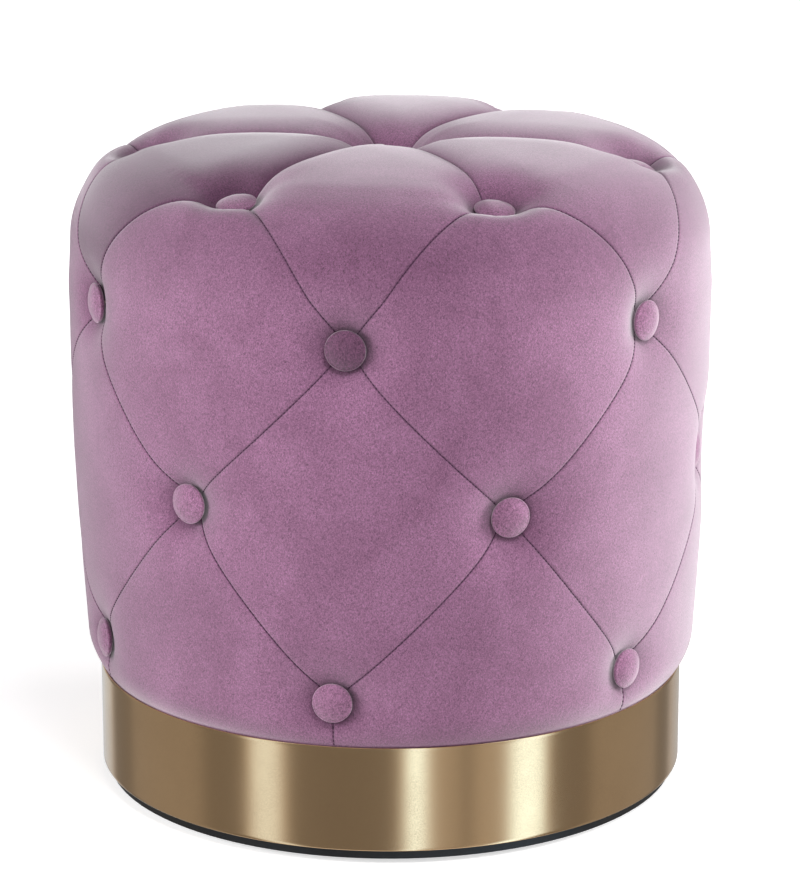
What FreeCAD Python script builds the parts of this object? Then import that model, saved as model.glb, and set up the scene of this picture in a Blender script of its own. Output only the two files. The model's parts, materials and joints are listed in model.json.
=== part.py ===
import FreeCAD, Part
import math
import os

# A round stool with a deep-buttoned velvet cover on a polished metal band.
#
# The stool is a drum: six wooden posts between a ring board and a seat board, inside a thin wall
# panel. Foam goes round the panel and over the seat board. One velvet cover goes over the foam, and
# its hem is turned in and stapled under the drum. Covered buttons are pulled in with twine, in
# rows that are half a step out of line, so the seams between the buttons make diamonds. The drum
# stands on a base of two boards and six blocks inside the metal band. Under the base is a smaller
# black plinth on six glides.
#
# Lengths are in millimetres and angles in degrees. +Z is up and the front is at -Y. The origin is on
# the floor at the middle of the stool. An angle is measured from the front towards +X.

# The clear space between pieces that face each other, and the reach of a cutter past a face
clearance = 0.3
overrun = 5.0

# Columns of buttons, posts, blocks and glides round the stool
columns = 6

# Glides and plinth
glide_diameter = 22.0
glide_height = 3.0
glide_inset = 23.0
glide_recess_diameter = 9.0
glide_recess_depth = 1.5
plinth_setback = 4.0
plinth_thickness = 6.5
plinth_screw_circle = 200.0

# Base inside the metal band
band_diameter = 350.0
band_sheet = 1.0
band_drop = 0.5
board_fit = 0.3
base_board_thickness = 12.0
base_ring_thickness = 12.0
ring_margin = 10.0
base_block_height = 34.8
base_block_length = 50.0
base_block_width = 34.0

# Drum frame
drum_board_thickness = 12.0
post_width = 30.0
post_depth = 25.0
post_height = 242.7
panel_sheet = 3.0
seat_board_thickness = 15.0

# Velvet cover and its turned-in hem, which the band laps over, and the foam under it
velvet_thickness = 2.0
hem_turn_in = 25.4
hem_fit = 0.6
hem_lap = 2.7
hem_rise = 0.3
foam_fit = 0.6
foam_skirt = 15.0
drawn_pad = 22.3

# The seat of the form: the surface that the buttons pull the fabric down to. Its corner starts a
# little under the top of the seat board, and two rows of buttons are drawn in deeper by a tuck.
side_radius = 176.6
corner_drop = 9.0
corner_radius = 43.0
crown_dip = 6.0
lower_row_tuck = 2.3
rim_row_tuck = 8.3

# Rows of buttons: the lower one above the band, the upper one under the start of the corner, the
# middle one at a share of the way between them, and the rim one in from the side. The turns are
# those of the first button in each row.
lower_row_rise = 27.3
upper_row_drop = 27.9
middle_row_share = 0.5205
rim_row_inset = 32.1
lower_row_turn = -10.4
middle_row_turn = 21.6
upper_row_turn = -7.6
rim_row_turn = 23.7

# How far the padding stands out of that seat, away from buttons and seams: at the hem, at the middle
# row, at the start of the corner, at a share of the way round it, at its end and near the middle
hem_puff = 7.5
middle_puff = 12.0
side_puff = 13.9
corner_puff = 16.9
crest_puff = 20.0
centre_puff = 23.0
corner_puff_share = 0.6
centre_puff_inset = 8.0
hem_swell_length = 18.0
hem_swell_power = 0.7

# The dimple round a button: the radius of its flat bottom, the width of its wall and the power that
# says how suddenly the wall starts, for the rows on the side, the row at the rim and the middle one
side_dimple_flat = 6.0
side_dimple_width = 15.3
side_dimple_power = 1.34
rim_dimple_flat = 8.5
rim_dimple_width = 11.5
rim_dimple_power = 1.25
centre_dimple_flat = 8.0
centre_dimple_width = 15.0
centre_dimple_power = 1.2

# The valley along a seam, which deepens on its way over the corner, between two lengths that are
# given from the start of the corner and from the rim row, and the fold before each rim button
side_valley_depth = 0.7
side_valley_width = 16.0
top_valley_depth = 6.8
top_valley_width = 34.0
valley_start_share = 0.4
valley_end_reach = 6.0
valley_dimple_power = 0.3
fold_height = 6.5
fold_reach = 17.5
fold_length = 12.0
fold_width = 24.0

# The shape of the seams on their way from row to row
side_seam_bow_share = 0.127
rim_seam_slope_share = 0.62
rim_seam_power = 4.0
lean_step_share = 0.005
shoulder_share = 0.6

# Half the height and half the width of the flat pit under a button, and half the width of the
# strips at the hem and in the middle of the top
button_pit = 7.0
button_strip = 3.0
hem_strip = 1.5
centre_strip = 1.0
centre_seat = 8.0

# Covered buttons, their backs, and the twine that pulls each one in
button_diameter = 23.0
button_height = 6.0
button_edge_height = 2.4
button_back_diameter = 15.0
button_back_thickness = 1.0
button_boss_diameter = 5.0
button_boss_length = 2.0
twine_diameter = 1.6
velvet_hole_diameter = 2.0
foam_hole_diameter = 8.0
twine_hole_diameter = 4.0
washer_diameter = 11.0
washer_thickness = 1.5
washer_hole_diameter = 2.4
knot_diameter = 5.0
knot_height = 3.0

# Staples
staple_wire = 0.8
staple_crown = 10.0
staple_leg = 8.0
staple_inset = 15.4
hem_staples = 36
panel_staple_shares = (0.12, 0.5, 0.88)

# Countersunk screws
screw_fit = 0.1
screw_tip = 3.0
base_screw_length = 90.0
base_screw_diameter = 5.0
base_screw_head = 10.0
post_screw_length = 40.0
post_screw_diameter = 4.0
post_screw_head = 8.0
post_screw_spread = 18.0
plinth_screw_length = 14.0
plinth_screw_diameter = 4.0
plinth_screw_head = 8.0
glide_screw_length = 14.0
glide_screw_diameter = 3.5
glide_screw_head = 7.0

# Steps of the loft between two rows of buttons
steps_per_row = 6

# Heights that follow from the stack of pieces
plinth_bottom = glide_height
base_bottom = plinth_bottom + plinth_thickness
band_bottom = base_bottom - band_drop
block_bottom = base_bottom + base_board_thickness
base_ring_bottom = block_bottom + base_block_height
hem_height = base_ring_bottom + base_ring_thickness
band_top = hem_height + hem_lap
drum_bottom = hem_height + velvet_thickness
post_bottom = drum_bottom + drum_board_thickness
seat_board_bottom = post_bottom + post_height
seat_board_top = seat_board_bottom + seat_board_thickness
corner_height = seat_board_top - corner_drop
lower_row_height = band_top + lower_row_rise
upper_row_height = corner_height - upper_row_drop
middle_row_height = lower_row_height + middle_row_share * (upper_row_height - lower_row_height)

# Radii and angles that follow from the sizes above
band_bore_radius = band_diameter / 2 - band_sheet
base_board_radius = band_bore_radius - board_fit
hem_radius = band_bore_radius - hem_fit
plinth_radius = band_diameter / 2 - plinth_setback
panel_radius = side_radius - lower_row_tuck - drawn_pad
panel_bore_radius = panel_radius - panel_sheet
seat_board_radius = panel_bore_radius - clearance
post_face = math.sqrt(seat_board_radius ** 2 - (post_width / 2) ** 2)
post_radius = post_face - post_depth / 2
ring_bore_radius = post_face - post_depth - ring_margin
step_angle = 360.0 / columns
post_turn = (middle_row_turn + lower_row_turn + step_angle) / 2
glide_turn = post_turn - step_angle / 2
glide_radius = plinth_radius - glide_inset
board_inset = velvet_thickness + clearance
foam_inset = velvet_thickness + foam_fit

# Lengths along the seat of the form, from the hem up the side, over the corner and in to the middle
side_length = corner_height - hem_height
corner_length = corner_radius * math.pi / 2
flat_radius = side_radius - corner_radius
form_length = side_length + corner_length + flat_radius
foam_split_length = side_length - foam_skirt


def vector(x, y, z):
    return FreeCAD.Vector(x, y, z)


def place(radius, angle, height):
    """A point at a radius and an angle from the front."""
    turn = math.radians(angle)
    return vector(radius * math.sin(turn), -radius * math.cos(turn), height)


def blend(low, high, share):
    """The value at a share of the way from low to high."""
    return low + (high - low) * share


def turned(shape, angle):
    """A copy of a shape turned about the stool's axis."""
    return shape.rotated(vector(0, 0, 0), vector(0, 0, 1), angle)


def around(shape, count=columns, first=0.0):
    """Copies of a shape, made at the front, spread evenly round the stool's axis."""
    return [turned(shape, first + step * 360.0 / count) for step in range(count)]


def export(shape, name):
    shape.exportStep(os.path.join("parts", name + ".step"))


# The tufted form

# Each row: its length from the hem, its turn, the half width of its strip, and its tuck under the
# plain seat. The hem, lower and upper rows hold the main columns of diamonds, and the others lie
# between them.
rim_row_angle = math.acos((side_radius - rim_row_inset - flat_radius) / corner_radius)
rows = [
    (0.0, lower_row_turn, hem_strip, side_radius - hem_radius),
    (lower_row_height - hem_height, lower_row_turn, button_strip, lower_row_tuck),
    (middle_row_height - hem_height, middle_row_turn, button_strip, 0.0),
    (upper_row_height - hem_height, upper_row_turn, button_strip, 0.0),
    (side_length + corner_radius * rim_row_angle, rim_row_turn, button_strip, rim_row_tuck),
    (form_length - centre_seat, rim_row_turn, centre_strip, 0.0),
]
HEM, LOWER, MIDDLE, UPPER, RIM, CENTRE = range(len(rows))


def row_below(length):
    """The row that a length lies on or above."""
    return max(low for low in range(CENTRE) if rows[low][0] <= length or low == HEM)


def tuck(length):
    """How far the seat is drawn in under the plain one at a length."""
    low = row_below(length)
    share = (length - rows[low][0]) / (rows[low + 1][0] - rows[low][0])
    return blend(rows[low][3], rows[low + 1][3], min(1.0, share))


def seat_point(length):
    """Radius, height and outward direction of the seat at a length from the hem."""
    out, up = 1.0, 0.0
    radius, height = side_radius, hem_height + length
    if length > side_length:
        angle = min((length - side_length) / corner_radius, math.pi / 2)
        out, up = math.cos(angle), math.sin(angle)
        radius = flat_radius + corner_radius * out
        height = corner_height + corner_radius * up
    if length > side_length + corner_length:
        radius = form_length - length
        height -= crown_dip * (1 - radius / flat_radius) ** 2
    return radius - out * tuck(length), height - up * tuck(length), out, up


def form_point(length, angle, rise):
    """A point of the form, at a rise above its seat."""
    radius, height, out, up = seat_point(length)
    return place(radius + out * rise, angle, height + up * rise)


aligned_rows = (HEM, LOWER, UPPER)
button_rows = (LOWER, MIDDLE, UPPER, RIM)

# Heights of the padding at lengths from the hem
puffs = [
    (0.0, hem_puff),
    (rows[MIDDLE][0], middle_puff),
    (side_length, side_puff),
    (side_length + corner_length * corner_puff_share, corner_puff),
    (side_length + corner_length, crest_puff),
    (form_length - centre_puff_inset, centre_puff),
]

# The dimple of each row: its flat, its wall's width and the power of the wall
side_dimple = (side_dimple_flat, side_dimple_width, side_dimple_power)
dimples = {
    LOWER: side_dimple,
    MIDDLE: side_dimple,
    UPPER: side_dimple,
    RIM: (rim_dimple_flat, rim_dimple_width, rim_dimple_power),
    CENTRE: (centre_dimple_flat, centre_dimple_width, centre_dimple_power),
}


def row_edges(row):
    """The angles of the left and the right seam of the first main column at a row."""
    length, turn, half_width, _ = rows[row]
    half_angle = math.degrees(half_width / seat_point(length)[0])
    if row in aligned_rows:
        return turn - half_angle, turn + half_angle
    return turn - step_angle + half_angle, turn - half_angle


def puff_slope(number):
    """The slope of the line of puff heights at one of its points."""
    first, last = max(0, number - 1), min(len(puffs) - 1, number + 1)
    slopes = [(high[1] - low[1]) / (high[0] - low[0])
              for low, high in zip(puffs[first:last], puffs[first + 1:last + 1])]
    if len(slopes) == 1:
        return slopes[0]
    before = puffs[number][0] - puffs[first][0]
    after = puffs[last][0] - puffs[number][0]
    return blend(slopes[0], slopes[1], before / (before + after))


def puff_height(length):
    """The height of the padding at a length, on a smooth line through the puffs."""
    low = max(number for number in range(len(puffs) - 1) if puffs[number][0] <= length or not number)
    (start, low_height), (end, high_height) = puffs[low], puffs[low + 1]
    gap = end - start
    share = min(1.0, (length - start) / gap)
    ease = share * share * (3 - 2 * share)
    leave = share * (1 - share) ** 2 * gap * puff_slope(low)
    reach = share ** 2 * (1 - share) * gap * puff_slope(low + 1)
    return blend(low_height, high_height, ease) + leave - reach


def dimple(row, reach):
    """The share of the padding's height that is left at a distance from a button of a row."""
    flat, width, power = dimples[row]
    return 1 - math.exp(-(max(0.0, reach - flat) / width) ** power)


def dimple_share(length, angle):
    """The share of the padding's height that all the buttons leave at a place."""
    share = dimple(CENTRE, form_length - length)
    for row in button_rows:
        radius = (seat_point(length)[0] + seat_point(rows[row][0])[0]) / 2
        share *= dimple(row, math.hypot(arc_from(row, angle, radius), length - rows[row][0]))
    return share


def arc_from(row, angle, radius):
    """The arc at a radius from the nearest button of a row to an angle."""
    turn = (angle - rows[row][1] + step_angle / 2) % step_angle - step_angle / 2
    return math.radians(turn) * radius


def hem_swell(length):
    """From 0 at the band, where the hem is flat, to 1 a little above it."""
    share = (length - hem_lap - hem_rise) / hem_swell_length
    return math.sin(math.pi / 2 * min(1.0, max(0.0, share))) ** hem_swell_power


def valley(length, seam_distance):
    """How deep the valley of a seam is at a distance from the seam."""
    start = side_length + corner_length * valley_start_share
    end = rows[RIM][0] + valley_end_reach
    share = min(1.0, max(0.0, (length - start) / (end - start)))
    ease = share * share * (3 - 2 * share)
    depth = blend(side_valley_depth, top_valley_depth, ease)
    width = blend(side_valley_width, top_valley_width, ease)
    across = min(1.0, max(0.0, 1 - seam_distance / width))
    return depth * (1 - math.sqrt(1 - across ** 2))


def fold(length, angle):
    """The small fold before each rim button, where the cover turns over the corner."""
    around = arc_from(RIM, angle, seat_point(length)[0])
    along = length - rows[RIM][0] + fold_reach
    return fold_height * math.exp(-(along / fold_length) ** 2 - (around / fold_width) ** 2)


def padding(length, angle, seam_distance):
    """How far the cover's face stands out of its seat at a place."""
    share = dimple_share(length, angle)
    drawn = valley(length, seam_distance) * share ** valley_dimple_power
    return (puff_height(length) * share - drawn + fold(length, angle)) * hem_swell(length)


def pit_edges(low, high):
    """Lengths where the fabric leaves row low and meets row high, clear of the buttons' pits."""
    start = hem_lap + hem_rise if low == HEM else rows[low][0] + button_pit
    return start, rows[high][0] - (button_pit if high in button_rows else 0.0)


def seam_share(low, share):
    """How far a seam has gone round from its button in row low towards the one in the next."""
    if low == UPPER:
        return rim_seam_slope_share * share + (1 - rim_seam_slope_share) * share ** rim_seam_power
    if low in (LOWER, MIDDLE):
        return share + side_seam_bow_share * share * (1 - share)
    return share


def spans(length, low):
    """The left and right angle of the main and of the other span at a length."""
    share = seam_share(low, (length - rows[low][0]) / (rows[low + 1][0] - rows[low][0]))
    left = blend(row_edges(low)[0], row_edges(low + 1)[0], share)
    right = blend(row_edges(low)[1], row_edges(low + 1)[1], share)
    return (left, right), (right, left + step_angle)


def seam_lean(length, low):
    """How far round a seam goes for each step up, at the face of the seat."""
    gap = rows[low + 1][0] - rows[low][0]
    share = (length - rows[low][0]) / gap
    low_share, high_share = (max(0.0, share - lean_step_share), min(1.0, share + lean_step_share))
    turn = row_edges(low + 1)[1] - row_edges(low)[1]
    going = (seam_share(low, high_share) - seam_share(low, low_share)) / (high_share - low_share)
    return math.radians(turn * going) * seat_point(length)[0] / gap


def place_rise(length, low, angle, left, right):
    """The rise of the cover at an angle between two seams, or on the strip of an upright seam."""
    if low in (HEM, RIM) and right - left < step_angle / 2:
        return padding(length, angle, 0.0)
    arc = math.radians(min(angle - left, right - angle)) * seat_point(length)[0]
    return padding(length, angle, arc / math.hypot(1.0, seam_lean(length, low)))


def section(length, low, inset):
    """One ring of arcs round the form, above row low, at an inset under its face."""
    middle = (1 + shoulder_share) / 2
    stations = (-1, -middle, -shoulder_share, 0, shoulder_share, middle, 1)
    edges = []
    for column in range(columns):
        for left, right in spans(length, low):
            points = []
            for across in stations:
                angle = blend(left, right, (1 + across) / 2)
                rise = place_rise(length, low, angle, left, right) - inset
                points.append(form_point(length, angle + column * step_angle, rise))
            for first in range(0, len(points) - 1, 2):
                edges.append(Part.Arc(*points[first:first + 3]).toShape())
    return Part.Wire(edges)


def levels(low):
    """Lengths of the sections from row low up to the next row, closer together at the rows."""
    start, end = pit_edges(low, low + 1)
    last = steps_per_row if low + 1 in button_rows else steps_per_row - 1
    shares = [(1 - math.cos(math.pi * step / steps_per_row)) / 2 for step in range(last + 1)]
    return [rows[low][0]] + [blend(start, end, share) for share in shares]


def sections(inset, start, end):
    """The sections of the form from a length to a length.

    Every skin also has one where the foam begins, where it is split and at the middle button's edge.
    """
    button_edge = form_length - button_diameter / 2
    cuts = (post_bottom - hem_height, foam_split_length, button_edge, start, end)
    found = []
    for low in range(CENTRE):
        first, last = rows[low][0], rows[low + 1][0]
        wanted = set(levels(low)) | {cut for cut in cuts if first <= cut < last}
        found += [section(length, low, inset) for length in sorted(wanted) if start <= length <= end]
    if end == rows[CENTRE][0]:
        found.append(section(end, RIM, inset))
    return found


def surface_height(row, angle, length, reach_angle):
    """How far the form's face stands out from a button's seat, along the button's axis."""
    low = row_below(length)
    first = spans(length, low)[0][0]
    turn = (reach_angle - first) % step_angle + first
    for left, right in spans(length, low):
        if left <= turn <= right:
            rise = place_rise(length, low, turn, left, right)
    seat, axis = button_seat(row, angle)
    return (form_point(length, reach_angle, rise) - seat).dot(axis)


# Covered buttons

def button_seat(row, angle):
    """The seat of a button and the direction it faces. The button in the middle is in row CENTRE."""
    if row == CENTRE:
        return vector(0, 0, seat_point(rows[CENTRE][0])[1]), vector(0, 0, 1)
    _, _, out, up = seat_point(rows[row][0])
    return form_point(rows[row][0], angle, 0.0), place(out, angle, up)


def button_lift(row):
    """How far a button stands above its seat, to lie on the fabric round it with its boss clear."""
    radius = button_diameter / 2
    angle = rows[row][1]
    heights = []
    for step in range(4 * columns):
        turn = 2 * math.pi * step / (4 * columns)
        if row == CENTRE:
            length = form_length - radius
            reach_angle = math.degrees(turn)
        else:
            length = rows[row][0] + radius * math.cos(turn)
            reach_angle = angle + math.degrees(radius * math.sin(turn) / seat_point(length)[0])
        heights.append(surface_height(row, angle, length, reach_angle))
    return max(heights + [button_boss_length]) + clearance


def disc(diameter, thickness, bottom=0.0):
    return Part.makeCylinder(diameter / 2, thickness, vector(0, 0, bottom))


def button_shape():
    """A domed button, its underside at 0, with a recess for its back."""
    radius = button_diameter / 2
    rise = button_height - button_edge_height
    dome_radius = (radius ** 2 + rise ** 2) / (2 * rise)
    half_turn = math.asin(radius / dome_radius) / 2
    foot = vector(0, 0, 0)
    rim = vector(radius, 0, 0)
    edge = vector(radius, 0, button_edge_height)
    drop = dome_radius * (1 - math.cos(half_turn))
    shoulder = vector(dome_radius * math.sin(half_turn), 0, button_height - drop)
    top = vector(0, 0, button_height)
    outline = Part.Wire([Part.makeLine(foot, rim), Part.makeLine(rim, edge),
                         Part.Arc(edge, shoulder, top).toShape(), Part.makeLine(top, foot)])
    solid = Part.Face(outline).revolve(foot, vector(0, 0, 1), 360)
    return solid.cut(disc(button_back_diameter, button_back_thickness + overrun, -overrun))


def button_back_shape():
    """The disc that closes a button, with the boss that holds the twine."""
    back = disc(button_back_diameter, button_back_thickness)
    return back.fuse(disc(button_boss_diameter, button_boss_length, -button_boss_length))


def facing(shape, origin, axis):
    """A shape with its own +Z turned to an axis and its origin moved to a point."""
    moved = shape.copy()
    turn = FreeCAD.Rotation(vector(0, 0, 1), axis)
    moved.Placement = FreeCAD.Placement(origin, turn).multiply(moved.Placement)
    return moved


def buttons():
    """Name, row and angle of each button."""
    found = [("centre_button", CENTRE, rows[CENTRE][1])]
    for name, row in (("rim", RIM), ("upper", UPPER), ("middle", MIDDLE), ("lower", LOWER)):
        for column in range(columns):
            found.append((f"{name}_button_{column + 1}", row, rows[row][1] + column * step_angle))
    return found


def pull_path(row, angle):
    """Where a button's twine starts, the direction it runs in, and its length to its washer."""
    seat, axis = button_seat(row, angle)
    start = seat + axis * (button_lift(row) - button_boss_length)
    if row in (RIM, CENTRE):
        return start, vector(0, 0, -1), start.z - seat_board_bottom
    washer_face = math.sqrt(panel_bore_radius ** 2 - (washer_diameter / 2) ** 2)
    return start, axis * -1, math.hypot(start.x, start.y) - washer_face


def pull_cylinder(diameter, path, back=0.0, ahead=0.0):
    """A cylinder along a twine's path, from behind its start to past its washer."""
    start, direction, length = path
    shape = Part.makeCylinder(diameter / 2, length + back + ahead)
    return facing(shape, start - direction * back, direction)


def twine_shape(path):
    """A twine from its button's boss to its knot behind the washer."""
    start, direction, length = path
    gap = clearance if direction.z else 0.0
    run = length + washer_thickness - gap
    twine = Part.makeCylinder(twine_diameter / 2, run, vector(0, 0, gap))
    knot = Part.makeCylinder(knot_diameter / 2, knot_height, vector(0, 0, length + washer_thickness))
    return facing(twine.fuse(knot), start, direction)


def washer_shape(path):
    start, direction, length = path
    washer = disc(washer_diameter, washer_thickness, length)
    washer = washer.cut(disc(washer_hole_diameter, length + washer_thickness + overrun))
    return facing(washer, start, direction)


def pull_holes(diameter, wanted_rows):
    """Cutters along the twines of some rows, from outside the form to past their washers."""
    found = []
    for _, row, angle in buttons():
        if row in wanted_rows:
            found.append(pull_cylinder(diameter, pull_path(row, angle), overrun, overrun))
    return found


# Velvet cover and foam

def loft_faces(wires):
    """Faces between each section and the next."""
    return Part.makeLoft(wires, False, True).Faces


def circle_wire(radius, height):
    return Part.Wire(Part.Circle(vector(0, 0, height), vector(0, 0, 1), radius).toShape())


def ring_face(outer, radius):
    """A flat face between a wire and a round bore in its plane."""
    bore = circle_wire(radius, outer.BoundBox.ZMin)
    return Part.makeFace(Part.makeCompound([outer, bore]), "Part::FaceMakerBullseye")


def bore_faces(radius, bottom, top):
    """The round wall between two heights."""
    return loft_faces([circle_wire(radius, bottom), circle_wire(radius, top)])


def closed_solid(faces):
    """One solid from faces that meet edge to edge."""
    skin = Part.makeCompound(faces)
    skin.sewShape()
    solid = Part.Solid(skin.Shells[0])
    if solid.Volume < 0:
        solid.reverse()
    return solid


def cover_shape():
    """The velvet cover: its tufted outer and inner face, and the hem turned in under the drum."""
    end = rows[CENTRE][0]
    outer = sections(0.0, 0.0, end)
    inner = sections(velvet_thickness, velvet_thickness, end)
    bore = hem_radius - hem_turn_in
    faces = loft_faces(outer) + loft_faces(inner)
    faces += [Part.Face(outer[-1]), Part.Face(inner[-1])]
    faces += [ring_face(outer[0], bore), ring_face(inner[0], bore)]
    faces += bore_faces(bore, hem_height, drum_bottom)
    return closed_solid(faces)


def side_foam_shape():
    """Foam round the wall panel, from the drum board up to the skirt of the seat foam."""
    radius = panel_radius + clearance
    top = hem_height + foam_split_length
    wires = sections(foam_inset, post_bottom - hem_height, foam_split_length)
    faces = loft_faces(wires) + bore_faces(radius, post_bottom, top)
    faces += [ring_face(wires[0], radius), ring_face(wires[-1], radius)]
    return closed_solid(faces)


def seat_foam_shape():
    """Foam over the seat board, with a skirt down outside the top of the wall panel."""
    radius = panel_radius + clearance
    bottom = hem_height + foam_split_length
    wires = sections(foam_inset, foam_split_length, rows[CENTRE][0])
    faces = loft_faces(wires) + bore_faces(radius, bottom, seat_board_top)
    faces += [ring_face(wires[0], radius), Part.Face(circle_wire(radius, seat_board_top))]
    faces.append(Part.Face(wires[-1]))
    return closed_solid(faces)


# Screws and staples

def screw(length, diameter, head, fit=0.0):
    """A countersunk screw that points up, the flat of its head at 0. With a fit it is a cutter."""
    radius = diameter / 2 + fit
    head_radius = head / 2 + fit
    sink = (head - diameter) / 2
    shank = length - screw_tip
    body = Part.makeCone(head_radius, radius, sink)
    body = body.fuse(Part.makeCylinder(radius, shank - sink, vector(0, 0, sink)))
    body = body.fuse(Part.makeCone(radius, 0, screw_tip + fit, vector(0, 0, shank)))
    if fit:
        body = body.fuse(disc(2 * head_radius, overrun, -overrun))
    return body


def staple():
    """A staple that points up, with its crown along X and the outer face of the crown at 0."""
    half = staple_wire / 2
    crown = Part.makeBox(staple_crown, staple_wire, staple_wire, vector(-staple_crown / 2, -half, 0))
    legs = [Part.makeBox(staple_wire, staple_wire, staple_leg, vector(x, -half, 0))
            for x in (-staple_crown / 2, staple_crown / 2 - staple_wire)]
    return crown.fuse(legs)


def lifted(shape, radius, height, across=0.0):
    """A shape moved to the front of the stool, at a radius and a height."""
    return shape.translated(vector(across, -radius, height))


def glide_screws(fit=0.0):
    one = screw(glide_screw_length, glide_screw_diameter, glide_screw_head, fit)
    return around(lifted(one, glide_radius, glide_recess_depth), first=glide_turn)


def plinth_screws(fit=0.0):
    one = screw(plinth_screw_length, plinth_screw_diameter, plinth_screw_head, fit)
    return around(lifted(one, plinth_screw_circle / 2, plinth_bottom), first=post_turn)


def base_screws(fit=0.0):
    """Long screws that hold the base to the posts of the drum."""
    one = screw(base_screw_length, base_screw_diameter, base_screw_head, fit)
    return around(lifted(one, post_radius, base_bottom), first=post_turn)


def post_screws(height, down, fit=0.0):
    """Two screws into the end of each post, up from under a board or down from its top."""
    one = screw(post_screw_length, post_screw_diameter, post_screw_head, fit)
    if down:
        one = one.rotated(vector(0, 0, 0), vector(1, 0, 0), 180)
    pair = [lifted(one, post_radius, height, side * post_screw_spread / 2) for side in (-1, 1)]
    return around(pair[0], first=post_turn) + around(pair[1], first=post_turn)


def drum_screws(fit=0.0):
    return post_screws(drum_bottom, False, fit)


def seat_screws(fit=0.0):
    return post_screws(seat_board_top, True, fit)


def hem_staples_shapes():
    """Staples through the turned-in hem, their crowns pressed level with the velvet."""
    return around(lifted(staple(), hem_radius - staple_inset, hem_height), hem_staples)


def panel_staples():
    """Staples through the wall panel into the posts, their crowns level with the panel."""
    inward = staple().rotated(vector(0, 0, 0), vector(1, 0, 0), -90)
    face = math.sqrt(panel_radius ** 2 - (staple_crown / 2) ** 2)
    found = []
    for share in panel_staple_shares:
        found += around(lifted(inward, face, post_bottom + share * post_height), first=post_turn)
    return found


# Base

def glides():
    glide = disc(glide_diameter, glide_height)
    glide = glide.cut(disc(glide_recess_diameter, glide_recess_depth + overrun, -overrun))
    copies = around(lifted(glide, glide_radius, 0.0), first=glide_turn)
    return [copy.cut(hole) for copy, hole in zip(copies, glide_screws(screw_fit))]


def plinth_board():
    board = disc(2 * plinth_radius, plinth_thickness, plinth_bottom)
    return board.cut(glide_screws(screw_fit) + plinth_screws(screw_fit))


def base_board():
    board = disc(2 * base_board_radius, base_board_thickness, base_bottom)
    return board.cut(glide_screws(screw_fit) + plinth_screws(screw_fit) + base_screws(screw_fit))


def base_blocks():
    corner = vector(-base_block_length / 2, -post_radius - base_block_width / 2, block_bottom)
    block = Part.makeBox(base_block_length, base_block_width, base_block_height, corner)
    copies = around(block, first=post_turn)
    return [copy.cut(hole) for copy, hole in zip(copies, base_screws(screw_fit))]


def base_ring():
    ring = disc(2 * base_board_radius, base_ring_thickness, base_ring_bottom)
    bore = disc(2 * ring_bore_radius, base_ring_thickness + 2 * overrun, base_ring_bottom - overrun)
    return ring.cut([bore] + base_screws(screw_fit))


def metal_band():
    height = band_top - band_bottom
    band = disc(band_diameter, height, band_bottom)
    return band.cut(disc(2 * band_bore_radius, height + 2 * overrun, band_bottom - overrun))


# Drum

def drum_board():
    """The ring board under the posts, its edge a little tapered to follow the cover."""
    low_radius = seat_point(velvet_thickness)[0] - board_inset
    high_radius = seat_point(post_bottom - hem_height)[0] - board_inset
    foot = vector(0, 0, drum_bottom)
    board = Part.makeCone(low_radius, high_radius, drum_board_thickness, foot)
    bore = disc(2 * ring_bore_radius, drum_board_thickness + 2 * overrun, drum_bottom - overrun)
    board = board.cut([bore] + base_screws(screw_fit) + drum_screws(screw_fit))
    return board.cut(hem_staples_shapes())


def posts():
    corner = vector(-post_width / 2, -post_face, post_bottom)
    post = Part.makeBox(post_width, post_depth, post_height, corner)
    holes = base_screws(screw_fit) + drum_screws(screw_fit) + seat_screws(screw_fit)
    holes = Part.makeCompound(holes + panel_staples())
    return [copy.cut(holes) for copy in around(post, first=post_turn)]


def seat_board():
    board = disc(2 * seat_board_radius, seat_board_thickness, seat_board_bottom)
    return board.cut(seat_screws(screw_fit) + pull_holes(twine_hole_diameter, (RIM, CENTRE)))


def wall_panel():
    height = seat_board_top - post_bottom
    panel = disc(2 * panel_radius, height, post_bottom)
    panel = panel.cut(disc(2 * panel_bore_radius, height + 2 * overrun, post_bottom - overrun))
    return panel.cut(panel_staples() + pull_holes(twine_hole_diameter, (LOWER, MIDDLE, UPPER)))


# Upholstery

def velvet_cover():
    holes = pull_holes(velvet_hole_diameter, button_rows + (CENTRE,))
    return cover_shape().cut(holes + hem_staples_shapes())


def side_foam():
    return side_foam_shape().cut(pull_holes(foam_hole_diameter, (LOWER, MIDDLE, UPPER)))


def seat_foam():
    return seat_foam_shape().cut(pull_holes(foam_hole_diameter, (RIM, CENTRE)))


def button_pieces():
    """Each button by name, and all their backs, twines and washers."""
    shells, backs, twines, washers = {}, [], [], []
    for name, row, angle in buttons():
        seat, axis = button_seat(row, angle)
        underside = seat + axis * button_lift(row)
        path = pull_path(row, angle)
        shells[name] = facing(button_shape(), underside, axis)
        backs.append(facing(button_back_shape(), underside, axis))
        twines.append(twine_shape(path))
        washers.append(washer_shape(path))
    return shells, backs, twines, washers


def numbered(name, shapes):
    return {f"{name}_{number + 1}": shape for number, shape in enumerate(shapes)}


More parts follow.
